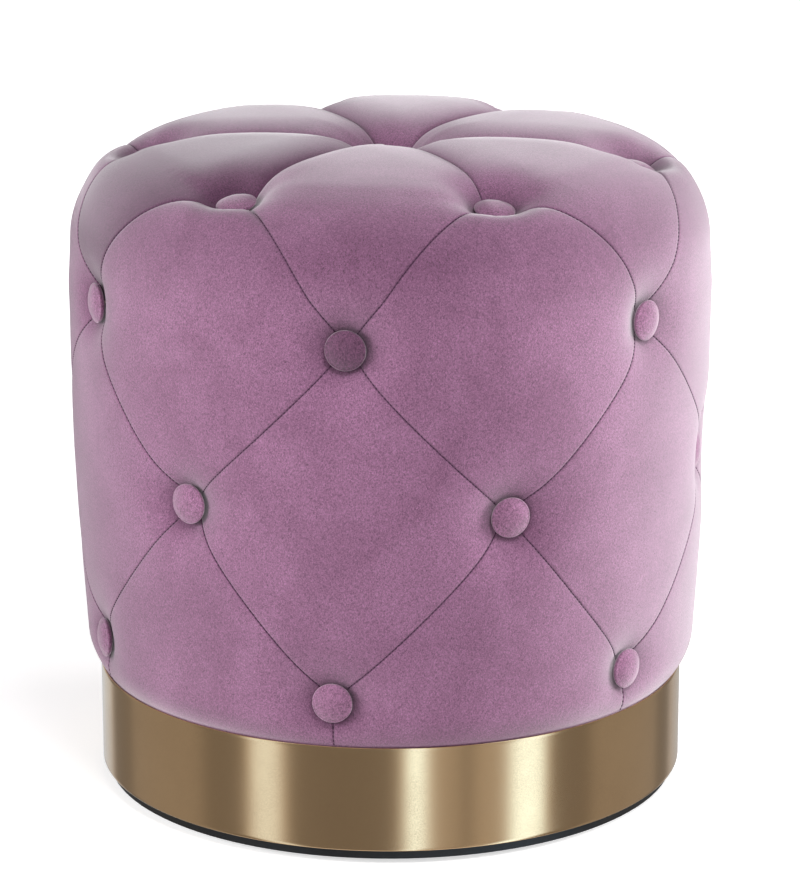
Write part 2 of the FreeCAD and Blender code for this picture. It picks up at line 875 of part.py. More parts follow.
def pieces():
    """Every piece by name. Like fasteners share a name as a group of separate solids."""
    shells, backs, twines, washers = button_pieces()
    groups = {
        "glides": glides(), "glide_screws": glide_screws(), "plinth_screws": plinth_screws(),
        "base_screws": base_screws(), "drum_screws": drum_screws(), "seat_screws": seat_screws(),
        "hem_staples": hem_staples_shapes(), "panel_staples": panel_staples(),
        "button_backs": backs, "tuft_twines": twines, "twine_washers": washers,
    }
    found = {name: Part.makeCompound(shapes) for name, shapes in groups.items()}
    found.update({
        "plinth_board": plinth_board(), "base_board": base_board(), "base_ring": base_ring(),
        "metal_band": metal_band(), "drum_board": drum_board(), "seat_board": seat_board(),
        "wall_panel": wall_panel(), "side_foam": side_foam(), "seat_foam": seat_foam(),
        "velvet_cover": velvet_cover(),
    })
    found.update(numbered("base_block", base_blocks()))
    found.update(numbered("post", posts()))
    found.update(shells)
    return found


os.makedirs("parts", exist_ok=True)
for name, shape in pieces().items():
    export(shape, name)
    box = shape.BoundBox
    print(f"{name}: {len(shape.Solids)} solids, {shape.Volume / 1000:.1f} cm3,"
          f" z {box.ZMin:.1f} to {box.ZMax:.1f}, valid {shape.isValid()}")
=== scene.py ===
# %% [markdown]
# # A round buttoned stool
#
# The stool is one velvet cover pulled into diamonds by twenty-five covered buttons, on a polished
# metal band with a thin black plinth under it.

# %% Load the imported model
import json
import math
import bmesh
import bpy
import numpy as np
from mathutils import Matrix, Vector


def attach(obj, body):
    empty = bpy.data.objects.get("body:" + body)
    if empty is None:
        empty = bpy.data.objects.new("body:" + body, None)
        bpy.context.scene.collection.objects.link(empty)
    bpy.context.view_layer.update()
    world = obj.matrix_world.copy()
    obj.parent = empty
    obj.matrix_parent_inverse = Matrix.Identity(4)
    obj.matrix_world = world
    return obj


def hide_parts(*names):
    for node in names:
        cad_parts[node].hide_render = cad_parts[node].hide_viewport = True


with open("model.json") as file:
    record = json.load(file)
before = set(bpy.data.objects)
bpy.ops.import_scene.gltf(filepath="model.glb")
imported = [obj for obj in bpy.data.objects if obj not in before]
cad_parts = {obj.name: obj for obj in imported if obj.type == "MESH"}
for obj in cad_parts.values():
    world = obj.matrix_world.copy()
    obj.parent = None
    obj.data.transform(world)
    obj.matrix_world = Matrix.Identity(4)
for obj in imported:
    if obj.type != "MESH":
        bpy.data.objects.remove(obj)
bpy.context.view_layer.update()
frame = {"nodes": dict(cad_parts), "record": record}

slot_of = {piece["node"]: piece["material_slot"] for piece in frame["record"]["subparts"]}
scene = bpy.context.scene

# %% [markdown]
# ## Camera
#
# The photograph was taken from about two metres away with a long lens, looking down by about sixteen
# degrees. A long lens keeps the sides of the drum upright. The camera is made first, so that each
# later step can be looked at in the same frame.

# %% Camera
camera_distance, camera_height, camera_aside, camera_pitch = 2.15775, 0.8075, 0.0057, 15.78
lens_length, sensor_width = 151.05, 36.0
camera_data = bpy.data.cameras.new("camera")
camera_data.lens = lens_length
camera_data.sensor_width = sensor_width
camera_data.sensor_fit = "AUTO"
camera_data.clip_end = 50.0
camera = bpy.data.objects.new("camera", camera_data)
camera.location = (camera_aside, -camera_distance, camera_height)
camera.rotation_euler = (math.radians(90.0 - camera_pitch), 0.0, 0.0)
scene.collection.objects.link(camera)
scene.camera = camera
print("camera at", tuple(round(value, 3) for value in camera.location))

# %% [markdown]
# ## The size of each part of the form
#
# These are the same measures that the solids are built from, in millimetres and degrees. A length is
# measured up the side from the hem, round the corner and in over the top, as a tape laid on the
# stool would read. Each row of buttons sits at one such length, turned by half a step from the next.

# %% Sizes of the form
mm = 0.001
hem_height, hem_radius, band_top = 68.3, 173.4, 71.0
side_radius, corner_height, corner_radius, crown_dip = 176.6, 331.0, 43.0, 6.0
columns = 6
step_angle = 360.0 / columns
lower_length, middle_length, upper_length = 30.0, 136.6, 234.8
lower_turn, middle_turn, upper_turn, rim_turn = -10.4, 21.6, -7.6, 23.7
rim_radius, lower_tuck, rim_tuck = 144.5, 2.3, 8.3

side_length = corner_height - hem_height
corner_length = corner_radius * math.pi / 2
flat_radius = side_radius - corner_radius
form_length = side_length + corner_length + flat_radius
rim_length = side_length + corner_radius * math.acos((rim_radius - flat_radius) / corner_radius)
row_lengths = np.array([0.0, lower_length, middle_length, upper_length, rim_length, form_length])
row_turns = np.array([lower_turn, lower_turn, middle_turn, upper_turn, rim_turn, rim_turn])
row_tucks = np.array([side_radius - hem_radius, lower_tuck, 0.0, 0.0, rim_tuck, 0.0])
HEM, LOWER, MIDDLE, UPPER, RIM, CENTRE = range(6)
print("length from hem to middle of the top:", round(form_length, 1), "mm")

# %% [markdown]
# ## The surface that the buttons pull the cover down to
#
# Under the padding is a plain drum with a rounded corner. This function gives its radius and height
# and the direction straight out of it, at any length from the hem.

# %% Seat of the form
def seat(length):
    angle = np.clip((length - side_length) / corner_radius, 0.0, math.pi / 2)
    out, up = np.cos(angle), np.sin(angle)
    radius = np.where(length > side_length, flat_radius + corner_radius * out, side_radius)
    height = np.where(length > side_length, corner_height + corner_radius * up, hem_height + length)
    over_top = length > side_length + corner_length
    reach = form_length - length
    radius = np.where(over_top, reach, radius)
    dip = crown_dip * (1 - reach / flat_radius) ** 2
    height = np.where(over_top, corner_height + corner_radius - dip, height)
    drawn = np.interp(length, row_lengths, row_tucks)
    return radius - out * drawn, height - up * drawn, out, up


print("seat at the upper row:", [round(float(v), 1) for v in seat(np.array(upper_length))])

# %% [markdown]
# ## Seams
#
# A seam runs from each button to the two nearest buttons in the row above. On the side it is almost a
# straight line. On its way to the rim it runs up first and then swings across to its button.

# %% Seams
side_bow, rim_slope, rim_power = 0.127, 0.62, 4.0


def seam_share(low, share):
    share = np.clip(share, 0.0, 1.0)
    if low == UPPER:
        return rim_slope * share + (1 - rim_slope) * share ** rim_power
    if low in (LOWER, MIDDLE):
        return share + side_bow * share * (1 - share)
    return share


seam_ends = {HEM: ((0, 0),), LOWER: ((0, -1), (0, 0)), MIDDLE: ((0, 0), (0, 1)),
             UPPER: ((0, -1), (0, 0)), RIM: ((0, 0),)}


def seam_angle(low, ends, share):
    start = row_turns[low] + step_angle * ends[0]
    end = row_turns[low + 1] + step_angle * ends[1]
    return start + (end - start) * seam_share(low, share)


for low, kinds in seam_ends.items():
    print("seams above row", low, [[round(float(seam_angle(low, e, s)), 1) for s in (0, 1)] for e in kinds])

# %% [markdown]
# ## How far the padding stands out
#
# Between the buttons the padding pushes the cover out to a smooth crest. Round each button the cover
# falls into a dimple, along each seam into a shallow valley, and in front of each rim button there
# is a small fold, because the cover is gathered there as it turns over the corner.

# %% Sizes of the padding
puff_lengths = [0.0, middle_length, side_length, side_length + 0.6 * corner_length,
                side_length + corner_length, form_length - 8.0]
puff_heights = [7.5, 12.0, 13.9, 16.9, 20.0, 23.0]
side_dimple, rim_dimple, centre_dimple = (6.0, 15.3, 1.34), (8.5, 11.5, 1.25), (8.0, 15.0, 1.2)
dimples = {LOWER: side_dimple, MIDDLE: side_dimple, UPPER: side_dimple, RIM: rim_dimple,
           CENTRE: centre_dimple}
side_valley, top_valley = (0.7, 16.0), (7.5, 34.0)
valley_turn_start, valley_turn_end = side_length + 0.4 * corner_length, rim_length + 6.0
valley_fade = 0.3
top_seam_shares = np.array([0.7, 0.9, 1.0, 1.0, 1.0, 1.5])
steep_seam, steep_share = 5, 0.6
fold_height, fold_before, fold_length, fold_width = 6.5, 17.5, 12.0, 24.0
hem_tuck, hem_swell_length, hem_swell_power = band_top + 0.3 - hem_height, 18.0, 0.7
print("padding on the side, at the rim and on the top:", puff_heights[1::2], "mm")


# %% Distance from the nearest seam
def wrapped(angle, turn):
    """An angle brought to within half a turn of 0."""
    return (angle + turn / 2) % turn - turn / 2


def turned_from(angle, row):
    return wrapped(angle - row_turns[row], step_angle)


far_away, small_share = 99.0, 0.005


def seam_distance(length, angle):
    """Distance along the cloth, in millimetres, to the nearest seam."""
    radius = np.maximum(seat(length)[0], 1.0)
    nearest = np.full(np.broadcast(length, angle).shape, far_away)
    for low, kinds in seam_ends.items():
        span = row_lengths[low + 1] - row_lengths[low]
        share = (length - row_lengths[low]) / span
        inside = (share >= 0) & (share <= 1)
        for ends in kinds:
            path = seam_angle(low, ends, share)
            swing = seam_angle(low, ends, share + small_share) - seam_angle(low, ends, share - small_share)
            across = np.radians(np.abs(wrapped(angle - path, step_angle))) * radius
            lean = np.radians(swing) * radius / (2 * small_share * span)
            nearest = np.where(inside, np.minimum(nearest, across / np.sqrt(1 + lean ** 2)), nearest)
    return nearest


between_buttons = np.array(middle_length), np.array(middle_turn + step_angle / 2)
print("from the middle of a diamond to its nearest seam:",
      round(float(seam_distance(*between_buttons)), 1), "mm")


# %% Dimples, valleys and folds
def dimple_share(length, angle, radius):
    """Share of the padding that is left near the buttons: 0 on a button's flat, 1 far from all of them."""
    def share(row, reach):
        flat, width, power = dimples[row]
        return 1 - np.exp(-(np.maximum(reach - flat, 0) / width) ** power)

    kept = share(CENTRE, form_length - length + 0 * angle)
    for row in (LOWER, MIDDLE, UPPER, RIM):
        around = np.radians(turned_from(angle, row)) * (radius + seat(row_lengths[row])[0]) / 2
        kept = kept * share(row, np.hypot(around, length - row_lengths[row]))
    return kept


def valley(length, angle):
    """Depth of the valley along the nearest seam. It deepens on its way over the corner."""
    over = np.clip((length - valley_turn_start) / (valley_turn_end - valley_turn_start), 0, 1)
    over = over * over * (3 - 2 * over)
    turn = (angle - rim_turn) / step_angle
    column = np.round(turn).astype(int) % columns
    depth = side_valley[0] + (top_valley[0] * top_seam_shares[column] - side_valley[0]) * over
    width = side_valley[1] + (top_valley[1] - side_valley[1]) * over
    width = width * np.where((column == steep_seam) & (turn > np.round(turn)), steep_share, 1.0)
    across = 1 - np.clip(seam_distance(length, angle) / width, 0, 1)
    return depth * (1 - np.sqrt(1 - across ** 2 + 1e-9))


def fold(length, angle, radius):
    """Height of the small fold in front of each rim button."""
    around = np.radians(turned_from(angle, RIM)) * radius
    before = length - rim_length + fold_before
    return fold_height * np.exp(-(before / fold_length) ** 2 - (around / fold_width) ** 2)


fold_top = fold(np.array(rim_length - fold_before), np.array(rim_turn), rim_radius)
print("height of a fold:", round(float(fold_top), 1), "mm")


# %% Padding
def smooth_between(length, knots, values):
    knots, values = np.asarray(knots, float), np.asarray(values, float)
    slopes = np.gradient(values, knots)
    low = np.clip(np.searchsorted(knots, length, side="right") - 1, 0, len(knots) - 2)
    gap = knots[low + 1] - knots[low]
    t = np.clip((length - knots[low]) / gap, 0.0, 1.0)
    start = (2 * t ** 3 - 3 * t ** 2 + 1) * values[low] + (t ** 3 - 2 * t ** 2 + t) * gap * slopes[low]
    end = (3 * t ** 2 - 2 * t ** 3) * values[low + 1] + (t ** 3 - t ** 2) * gap * slopes[low + 1]
    return start + end


def padding(length, angle):
    """How far the cover stands out of the seat, in millimetres."""
    radius = np.maximum(seat(length)[0], 1.0)
    kept = dimple_share(length, angle, radius)
    full = smooth_between(length, puff_lengths, puff_heights)
    rise = full * kept - valley(length, angle) * kept ** valley_fade + fold(length, angle, radius)
    swell = np.clip((length - hem_tuck) / hem_swell_length, 0.0, 1.0)
    return rise * np.sin(swell * math.pi / 2) ** hem_swell_power


def form_points(length, angle, rise):
    radius, height, out, up = seat(length)
    around = np.radians(angle)
    reach = radius + out * rise
    return np.stack([reach * np.sin(around), -reach * np.cos(around), height + up * rise], -1) * mm


print("padding between two buttons of the middle row:",
      round(float(padding(*between_buttons)), 1), "mm")

# %% [markdown]
# ## One patch of cover for each diamond
#
# If the grid of the mesh follows the seams, a seam can be a crisp crease. So each diamond between
# four buttons is its own grid, whose four edges are seams, and the lines of the grid lie closer
# together beside a seam. The grids are then joined along the seams into one cover.

# %% Spacing of the grid lines
def grid_shares(length=130.0, middle_step=2.9, beside=(0.0, 0.5, 1.1, 1.9, 3.0, 4.6, 6.8)):
    start = np.array(beside) / length
    steps = int(round((1 - 2 * start[-1]) * length / middle_step))
    middle = np.linspace(start[-1], 1 - start[-1], steps + 1)[1:-1]
    return np.concatenate([start, middle, 1 - start[::-1]])


shares = grid_shares()
print("lines across a diamond:", len(shares))


# %% Patches
def flat_map(length, angle):
    reach = form_length - length
    return np.stack([reach * np.sin(np.radians(angle)), -reach * np.cos(np.radians(angle))], -1)


def from_flat(points):
    reach = np.hypot(points[..., 0], points[..., 1])
    return form_length - reach, np.degrees(np.arctan2(points[..., 0], -points[..., 1]))


def seam_line(low, ends, shift):
    length = row_lengths[low] + (row_lengths[low + 1] - row_lengths[low]) * shares
    return np.stack([length, seam_angle(low, ends, shares) + shift], -1)


def filled(bottom_right, bottom_left, top_left, top_right):
    """A grid between four edges, so that every edge keeps its own points."""
    u, v = np.meshgrid(shares, shares, indexing="ij")
    u, v = u[..., None], v[..., None]
    sides = ((1 - v) * bottom_right[:, None] + v * top_left[:, None]
             + (1 - u) * bottom_left[None] + u * top_right[None])
    corners = ((1 - u) * (1 - v) * bottom_right[0] + u * (1 - v) * bottom_right[-1]
               + (1 - u) * v * bottom_left[-1] + u * v * top_right[-1])
    return sides - corners


def diamond(low, shift):
    bottom_left, bottom_right = (seam_line(low, ends, shift) for ends in seam_ends[low])
    if low == LOWER:
        top_left = seam_line(MIDDLE, (0, 1), shift - step_angle)
        top_right = seam_line(MIDDLE, (0, 0), shift)
    elif low == MIDDLE:
        top_left = seam_line(UPPER, (0, 0), shift)
        top_right = seam_line(UPPER, (0, -1), shift + step_angle)
    else:
        top_left = seam_line(RIM, (0, 0), shift - step_angle)
        top_right = seam_line(RIM, (0, 0), shift)
    return bottom_right, bottom_left, top_left, top_right


for low in (LOWER, MIDDLE, UPPER):
    starts = [[round(float(value), 1) for value in edge[0]] for edge in diamond(low, 0.0)]
    print("edges of the diamond above row", low, "start at", starts)

# %% [markdown]
# ## Creases
#
# Real seams on this cover are almost level with the fabric beside them: a thin dark line with a soft
# lip. The crease is cut into the mesh itself, because the lines of the grid are close enough there.

# %% Creases beside the seams
crease_depth, crease_width = 0.32, 0.45
lip_height, lip_place, lip_width = 0.04, 1.6, 1.0
crease_start, crease_growth = 2.0, 3.0


def crease(length, angle):
    away = seam_distance(length, angle)
    groove = -crease_depth * np.exp(-(away / crease_width) ** 2)
    lip = lip_height * np.exp(-((away - lip_place) / lip_width) ** 2)
    return (groove + lip) * np.clip((length - crease_start) / crease_growth, 0.0, 1.0)


deepest = float(crease(np.array(middle_length), np.array(middle_turn)))
print("depth of the crease on a seam:", round(deepest, 2), "mm")

# %% [markdown]
# ## Grids of the cover
#
# Every grid is a table of lengths and angles. The diamonds are filled in from their four seams. The
# pieces under the middle row reach down to the hem, so they are filled level by level instead.

# %% All the grids
below_lower_row = np.array([0.0, 1.2, 2.6, 4.4, 6.6, 9.2, 12.0, 15.0, 18.0, 21.0, 24.0, 27.0])
step_length = 183.0


def all_patches():
    found = []
    for column in range(columns):
        shift = column * step_angle
        for low in (LOWER, MIDDLE):
            found.append(tuple(np.moveaxis(filled(*diamond(low, shift)), -1, 0)))
        edges = [flat_map(edge[:, 0], edge[:, 1]) for edge in diamond(UPPER, shift)]
        found.append(from_flat(filled(*edges)))
        found.append(hem_patch(shift))
    return found


def hem_patch(shift):
    """The cloth from the hem up to the two seams above it, level by level."""
    below = np.stack([below_lower_row, np.full(len(below_lower_row), lower_turn + shift)], -1)
    left = np.concatenate([below, seam_line(LOWER, (0, 0), shift)])
    right = np.concatenate([below + (0.0, step_angle), seam_line(LOWER, (0, -1), shift + step_angle)])
    across = grid_shares(step_length)[None]
    angles = left[:, 1:] + (right[:, 1:] - left[:, 1:]) * across
    return left[:, :1] + 0 * across, angles


patches = all_patches()
print("grids:", len(patches), "points:", sum(lengths.size for lengths, _ in patches))

# %% [markdown]
# ## Joining the grids
#
# Points that two grids share are merged, so the cover is one skin with no gaps along the seams. Each
# face is turned to look outwards.

# %% Join the grids into one skin
# painted shade: the left of the top is painted darker, as it lies away from the light
top_shade_start, top_shade_angle, top_shade_reach = upper_length + 20.0, -80.0, 75.0
drum_middle = np.array([0.0, 0.0, 0.2])


def painted_top_shade(length, angle):
    """Painted shade on a piece of cloth, 0 to 1: darkest on the left of the top, away from the light."""
    if length < top_shade_start:
        return 0.0
    return max(0.0, 1.0 - abs(wrapped(angle - top_shade_angle, 360.0)) / top_shade_reach)


def outward_quads(points, first_index):
    """The faces of one grid, turned so that they look away from the middle of the drum."""
    rows, places = points.shape[:2]
    index = first_index + np.arange(rows * places).reshape(rows, places)
    quads = np.stack([index[:-1, :-1], index[1:, :-1], index[1:, 1:], index[:-1, 1:]], -1).reshape(-1, 4)
    row, place = rows // 2, places // 2
    middle = points[row, place]
    sweep = np.cross(points[row + 1, place] - middle, points[row, place + 1] - middle)
    return quads if sweep @ (middle - drum_middle) > 0 else quads[:, ::-1]


def joined(grids):
    corners, faces, top_shades, count = [], [], [], 0
    for length, angle in grids:
        points = form_points(length, angle, padding(length, angle))
        middle = length.shape[0] // 2, length.shape[1] // 2
        faces.append(outward_quads(points, count))
        top_shades.append(np.full(length.size, painted_top_shade(length[middle], angle[middle])))
        corners.append(points.reshape(-1, 3))
        count += length.size
    corners = np.concatenate(corners)
    _, first, same = np.unique(np.round(corners / mm, 3), axis=0, return_index=True, return_inverse=True)
    lengths = np.concatenate([length.ravel() for length, _ in grids])[first]
    angles = np.concatenate([angle.ravel() for _, angle in grids])[first]
    faces, top_shades = same.ravel()[np.concatenate(faces)], np.concatenate(top_shades)[first]
    return corners[first], faces, lengths, angles, top_shades


points, faces, lengths, angles, top_shades = joined(patches)
print("cover:", len(points), "points and", len(faces), "faces")

# %% [markdown]
# ## Hem
#
# Below the band's top edge the cover turns in under the drum, where it is stapled. The turned-in hem
# is modelled too, so the cover is a sheet of real thickness and not an open shell.

# %% Helpers for meshes
def mesh_object(name, corners, polygons, edges=()):
    mesh = bpy.data.meshes.new(name)
    mesh.from_pydata([tuple(map(float, corner)) for corner in corners], list(edges), polygons)
    mesh.validate()
    mesh.update()
    made = bpy.data.objects.new(name, mesh)
    scene.collection.objects.link(made)
    return made


def smooth(made):
    for face in made.data.polygons:
        face.use_smooth = True


def whole_faces(quads):
    """The quads as lists, with a corner that is named twice left out."""
    found = []
    for quad in quads.tolist():
        corners = [corner for place, corner in enumerate(quad) if corner != quad[place - 1]]
        if len(set(corners)) == len(corners) and len(corners) > 2:
            found.append(corners)
    return found


def level_ring(turn, radius, height):
    return np.stack([radius * np.sin(turn), -radius * np.cos(turn), np.full(len(turn), height)], -1) * mm


print("mesh helpers ready")

# %% The turned-in hem and the inner face of the cover
velvet_thickness, hem_turned_in, hem_bend, hem_drop = 2.0, 25.4, 0.8, 0.2
inner_start, inner_end, inner_rings, on_the_edge = 12.0, form_length - 6.0, 40, 1e-6


def with_hem(outer, outer_faces, outer_lengths):
    edge = np.flatnonzero(outer_lengths < on_the_edge)
    turn = np.arctan2(outer[edge, 0], -outer[edge, 1])
    edge, turn = edge[np.argsort(turn)], np.sort(turn)
    angle = np.degrees(turn)
    inside, below, above = hem_radius - hem_turned_in, hem_height - hem_drop, hem_height + velvet_thickness
    rings = [level_ring(turn, radius, height) for radius, height in
             ((hem_radius - hem_bend, below), (inside, below), (inside, above),
              (hem_radius - velvet_thickness, above))]
    for length in np.linspace(inner_start, inner_end, inner_rings):
        level = np.full(len(angle), length)
        rings.append(form_points(level, angle, padding(level, angle) - velvet_thickness))
    corners, polygons = [outer], whole_faces(outer_faces)
    before, count = edge, len(outer)
    for ring in rings:
        fresh = count + np.arange(len(ring))
        polygons += np.stack([before, fresh, np.roll(fresh, -1), np.roll(before, -1)], -1).tolist()
        corners.append(ring)
        before, count = fresh, count + len(ring)
    centre = rings[-1].mean(0)
    following = np.roll(before, -1)
    polygons += [[first, count, second] for first, second in zip(before.tolist(), following.tolist())]
    return np.concatenate(corners + [centre[None]]), polygons


corners, polygons = with_hem(points, faces, lengths)
cover = mesh_object("velvet_cover_soft", corners, polygons)
print("cover with its hem:", len(corners), "points and", len(polygons), "faces")

# %% [markdown]
# ## Seam lines
#
# The stitches follow the seams, so the seams are also needed as lines. Each line stops short of the
# button at either end, and lies in the bottom of its crease.

# %% Lines along the seams
button_radius, thread_rise, under_button, above_hem = 11.5, 0.35, 1.5, 4.0


def seam_lines():
    lines = []
    share = np.linspace(0, 1, 60)
    for low, kinds in seam_ends.items():
        length = row_lengths[low] + (row_lengths[low + 1] - row_lengths[low]) * share
        for ends in kinds:
            for column in range(columns):
                angle = seam_angle(low, ends, share) + column * step_angle
                rise = padding(length, angle) + crease(length, angle) + thread_rise
                line = form_points(length, angle, rise)
                from_end = np.linalg.norm(line - line[-1], axis=1) / mm
                from_start = np.linalg.norm(line - line[0], axis=1) / mm if low != HEM else from_end
                clear = np.minimum(from_start, from_end) > button_radius - under_button
                lines.append(line[clear & (length > above_hem)])
    return lines


lines = seam_lines()
print("seam lines:", len(lines))

# %% [markdown]
# ## Material helpers
#
# A small helper adds a node and joins its inputs, so that each finish below reads as a short recipe.

# %% Helper for nodes
def node_adder(tree):
    def add(kind, inputs=None, **settings):
        made = tree.nodes.new(kind)
        for name, value in settings.items():
            setattr(made, name, value)
        for name, value in (inputs or {}).items():
            socket = made.inputs[name]
            if isinstance(value, bpy.types.NodeSocket):
                tree.links.new(value, socket)
            else:
                socket.default_value = value
        return made
    return add


def colour(red, green, blue):
    """A colour as a picture editor shows it, turned into the linear values that a shader wants."""
    def linear(value):
        share = value / 255
        return share / 12.92 if share <= 0.04045 else ((share + 0.055) / 1.055) ** 2.4
    return (linear(red), linear(green), linear(blue), 1.0)


def new_group(name, inputs, outputs):
    tree = bpy.data.node_groups.new(name, "ShaderNodeTree")
    for label, kind, value in inputs:
        socket = tree.interface.new_socket(label, in_out="INPUT", socket_type=kind)
        if value is not None:
            socket.default_value = value
    for label, kind in outputs:
        tree.interface.new_socket(label, in_out="OUTPUT", socket_type=kind)
    add = node_adder(tree)
    return tree, add, add("NodeGroupInput"), add("NodeGroupOutput")


def use_group(add, tree, inputs):
    return add("ShaderNodeGroup", inputs, node_tree=tree)


def mixed(add, factor, first, second, blend="MIX"):
    """A colour between two others. The Mix node has its colour sockets at places 6 and 7."""
    made = add("ShaderNodeMix", {0: factor, 6: first, 7: second}, data_type="RGBA", blend_type=blend)
    return made.outputs[2]


print("helpers ready")

# %% [markdown]
# ## Nap and mottling
#
# Velvet is a field of short upright threads. Where they lean a little this way or that, the cloth
# shows a fine wavy grain, about two millimetres across, and larger soft clouds where a hand or a fold
# has turned the nap. Both are patterns that several finishes share, so each is a node group.

# %% Groups for grain and clouds
grain_group, add, given, result = new_group(
    "grain", [("Vector", "NodeSocketVector", None), ("Size", "NodeSocketFloat", 600.0),
              ("Stretch", "NodeSocketFloat", 0.7), ("Wander", "NodeSocketFloat", 0.9)],
    [("Height", "NodeSocketFloat"), ("Mask", "NodeSocketFloat")])
combined = add("ShaderNodeCombineXYZ", {"X": 1.0, "Y": 1.0, "Z": given.outputs["Stretch"]})
leaned = add("ShaderNodeMapping", {"Vector": given.outputs["Vector"], "Rotation": (0.5, 0.7, 0.35),
                                   "Scale": combined.outputs["Vector"]})
coarse = add("ShaderNodeTexNoise", {"Vector": leaned.outputs["Vector"], "Scale": given.outputs["Size"],
                                    "Detail": 2.0, "Roughness": 0.6, "Distortion": given.outputs["Wander"]})
finer = add("ShaderNodeMath", {0: given.outputs["Size"], 1: 2.6}, operation="MULTIPLY")
fine = add("ShaderNodeTexNoise", {"Vector": leaned.outputs["Vector"], "Scale": finer.outputs[0],
                                  "Detail": 2.0, "Roughness": 0.55})
weighed = add("ShaderNodeMath", {0: fine.outputs["Fac"], 1: 0.45}, operation="MULTIPLY")
both = add("ShaderNodeMath", {0: coarse.outputs["Fac"], 1: weighed.outputs[0]}, operation="ADD")
mask = add("ShaderNodeMapRange", {"Value": both.outputs[0], "From Min": 0.45, "From Max": 1.0})
grain_group.links.new(both.outputs[0], result.inputs["Height"])
grain_group.links.new(mask.outputs["Result"], result.inputs["Mask"])

cloud_group, add, given, result = new_group(
    "clouds", [("Vector", "NodeSocketVector", None), ("Size", "NodeSocketFloat", 18.0)],
    [("Mask", "NodeSocketFloat")])
soft = add("ShaderNodeTexNoise", {"Vector": given.outputs["Vector"], "Scale": given.outputs["Size"],
                                  "Detail": 3.0, "Roughness": 0.55, "Distortion": 0.6})
mask = add("ShaderNodeMapRange", {"Value": soft.outputs["Fac"], "From Min": 0.32, "From Max": 0.68},
           interpolation_type="SMOOTHSTEP")
cloud_group.links.new(mask.outputs["Result"], result.inputs["Mask"])
print("groups:", [tree.name for tree in bpy.data.node_groups])

# %% [markdown]
# ## Velvet
#
# Velvet looks darkest where it faces the eye and pale where it is seen along its surface, because the
# tips of the threads catch the light. The Principled shader calls this sheen, and it has one value all
# over. The colour itself is a dusty mauve. Three attributes on the mesh paint light and shade into it:
# painted shade along the seams and round the buttons, painted shade under the rim and at the left of
# the top, and a painted sheen that makes the right side paler.

# %% Velvet
def new_material(name):
    made = bpy.data.materials.new(name)
    made.use_nodes = True
    made.node_tree.nodes.clear()
    add = node_adder(made.node_tree)
    shader = add("ShaderNodeBsdfPrincipled")
    add("ShaderNodeOutputMaterial", {"Surface": shader.outputs["BSDF"]})
    place = add("ShaderNodeTexCoord")
    return made, add, shader, place.outputs["Object"]


def set_plain(shader, **values):
    for name, value in values.items():
        shader.inputs[name.replace("_", " ")].default_value = value


def on_mesh(add, label):
    """A value that is kept on the points of the mesh. It is 0 on a piece that doesn't have it."""
    return add("ShaderNodeAttribute", attribute_name=label).outputs["Fac"]


def darker(add, factor, shown, shade):
    return mixed(add, factor, shown, mixed(add, 1.0, shown, (*shade, 1.0), "MULTIPLY"))


def velvet_material(name, dark, light, grain_size, grain_depth):
    """Velvet between a darker and a lighter colour, as a picture editor shows them."""
    made, add, shader, place = new_material(name)
    link = made.node_tree.links.new
    grain = use_group(add, grain_group, {"Vector": place, "Size": grain_size})
    clouds = use_group(add, cloud_group, {"Vector": place, "Size": 17.0})
    small_clouds = use_group(add, cloud_group, {"Vector": place, "Size": 70.0})
    base = mixed(add, clouds.outputs["Mask"], colour(*dark), colour(*light))
    grey = mixed(add, grain.outputs["Mask"], (0.1, 0.1, 0.1, 1), (0.9, 0.9, 0.9, 1))
    shown = mixed(add, 0.85, base, grey, "OVERLAY")
    shown = darker(add, small_clouds.outputs["Mask"], shown, (0.95, 0.94, 0.95))
    # painted shade: darker under the rim, in the dimples round the buttons, at the left of the top and on
    # one button
    shown = darker(add, on_mesh(add, "painted_shade"), shown, (0.45, 0.39, 0.44))
    # painted sheen: the right side is made paler, towards the light
    painted_sheen_share = add("ShaderNodeMapRange", {"Value": on_mesh(add, "painted_sheen"), "To Max": 0.14})
    shown = mixed(add, painted_sheen_share.outputs["Result"], shown, (0.64, 0.61, 0.63, 1))
    # painted shade: the dark line in each seam crease and the shadow round each button
    shown = mixed(add, on_mesh(add, "seam_near"), shown, colour(48, 20, 44))
    link(shown, shader.inputs["Base Color"])
    rough = add("ShaderNodeMapRange", {"Value": grain.outputs["Mask"], "To Min": 0.78, "To Max": 0.95})
    link(rough.outputs["Result"], shader.inputs["Roughness"])
    bump = add("ShaderNodeBump", {"Strength": 0.22, "Distance": grain_depth,
                                  "Height": grain.outputs["Height"]})
    link(bump.outputs["Normal"], shader.inputs["Normal"])
    set_plain(shader, Sheen_Weight=0.76, Sheen_Roughness=0.5, Sheen_Tint=(1.0, 0.98, 1.0, 1.0),
              Specular_IOR_Level=0.12)
    return made


velvet = velvet_material("mauve_velvet", (134, 90, 121), (147, 102, 134), 1500.0, 0.0004)
button_velvet = velvet_material("button_velvet", (139, 95, 125), (154, 108, 140), 1150.0, 0.0005)
print("velvets:", velvet.name, button_velvet.name)

# %% [markdown]
# ## Gold band, black paint and the parts inside
#
# The band is sheet metal rolled into a ring and polished along its length, so it reflects the studio
# as upright streaks. The rest of the parts are wood, board, paint, plastic and plain fasteners. Each
# gets its own recipe with a pattern at its real scale.

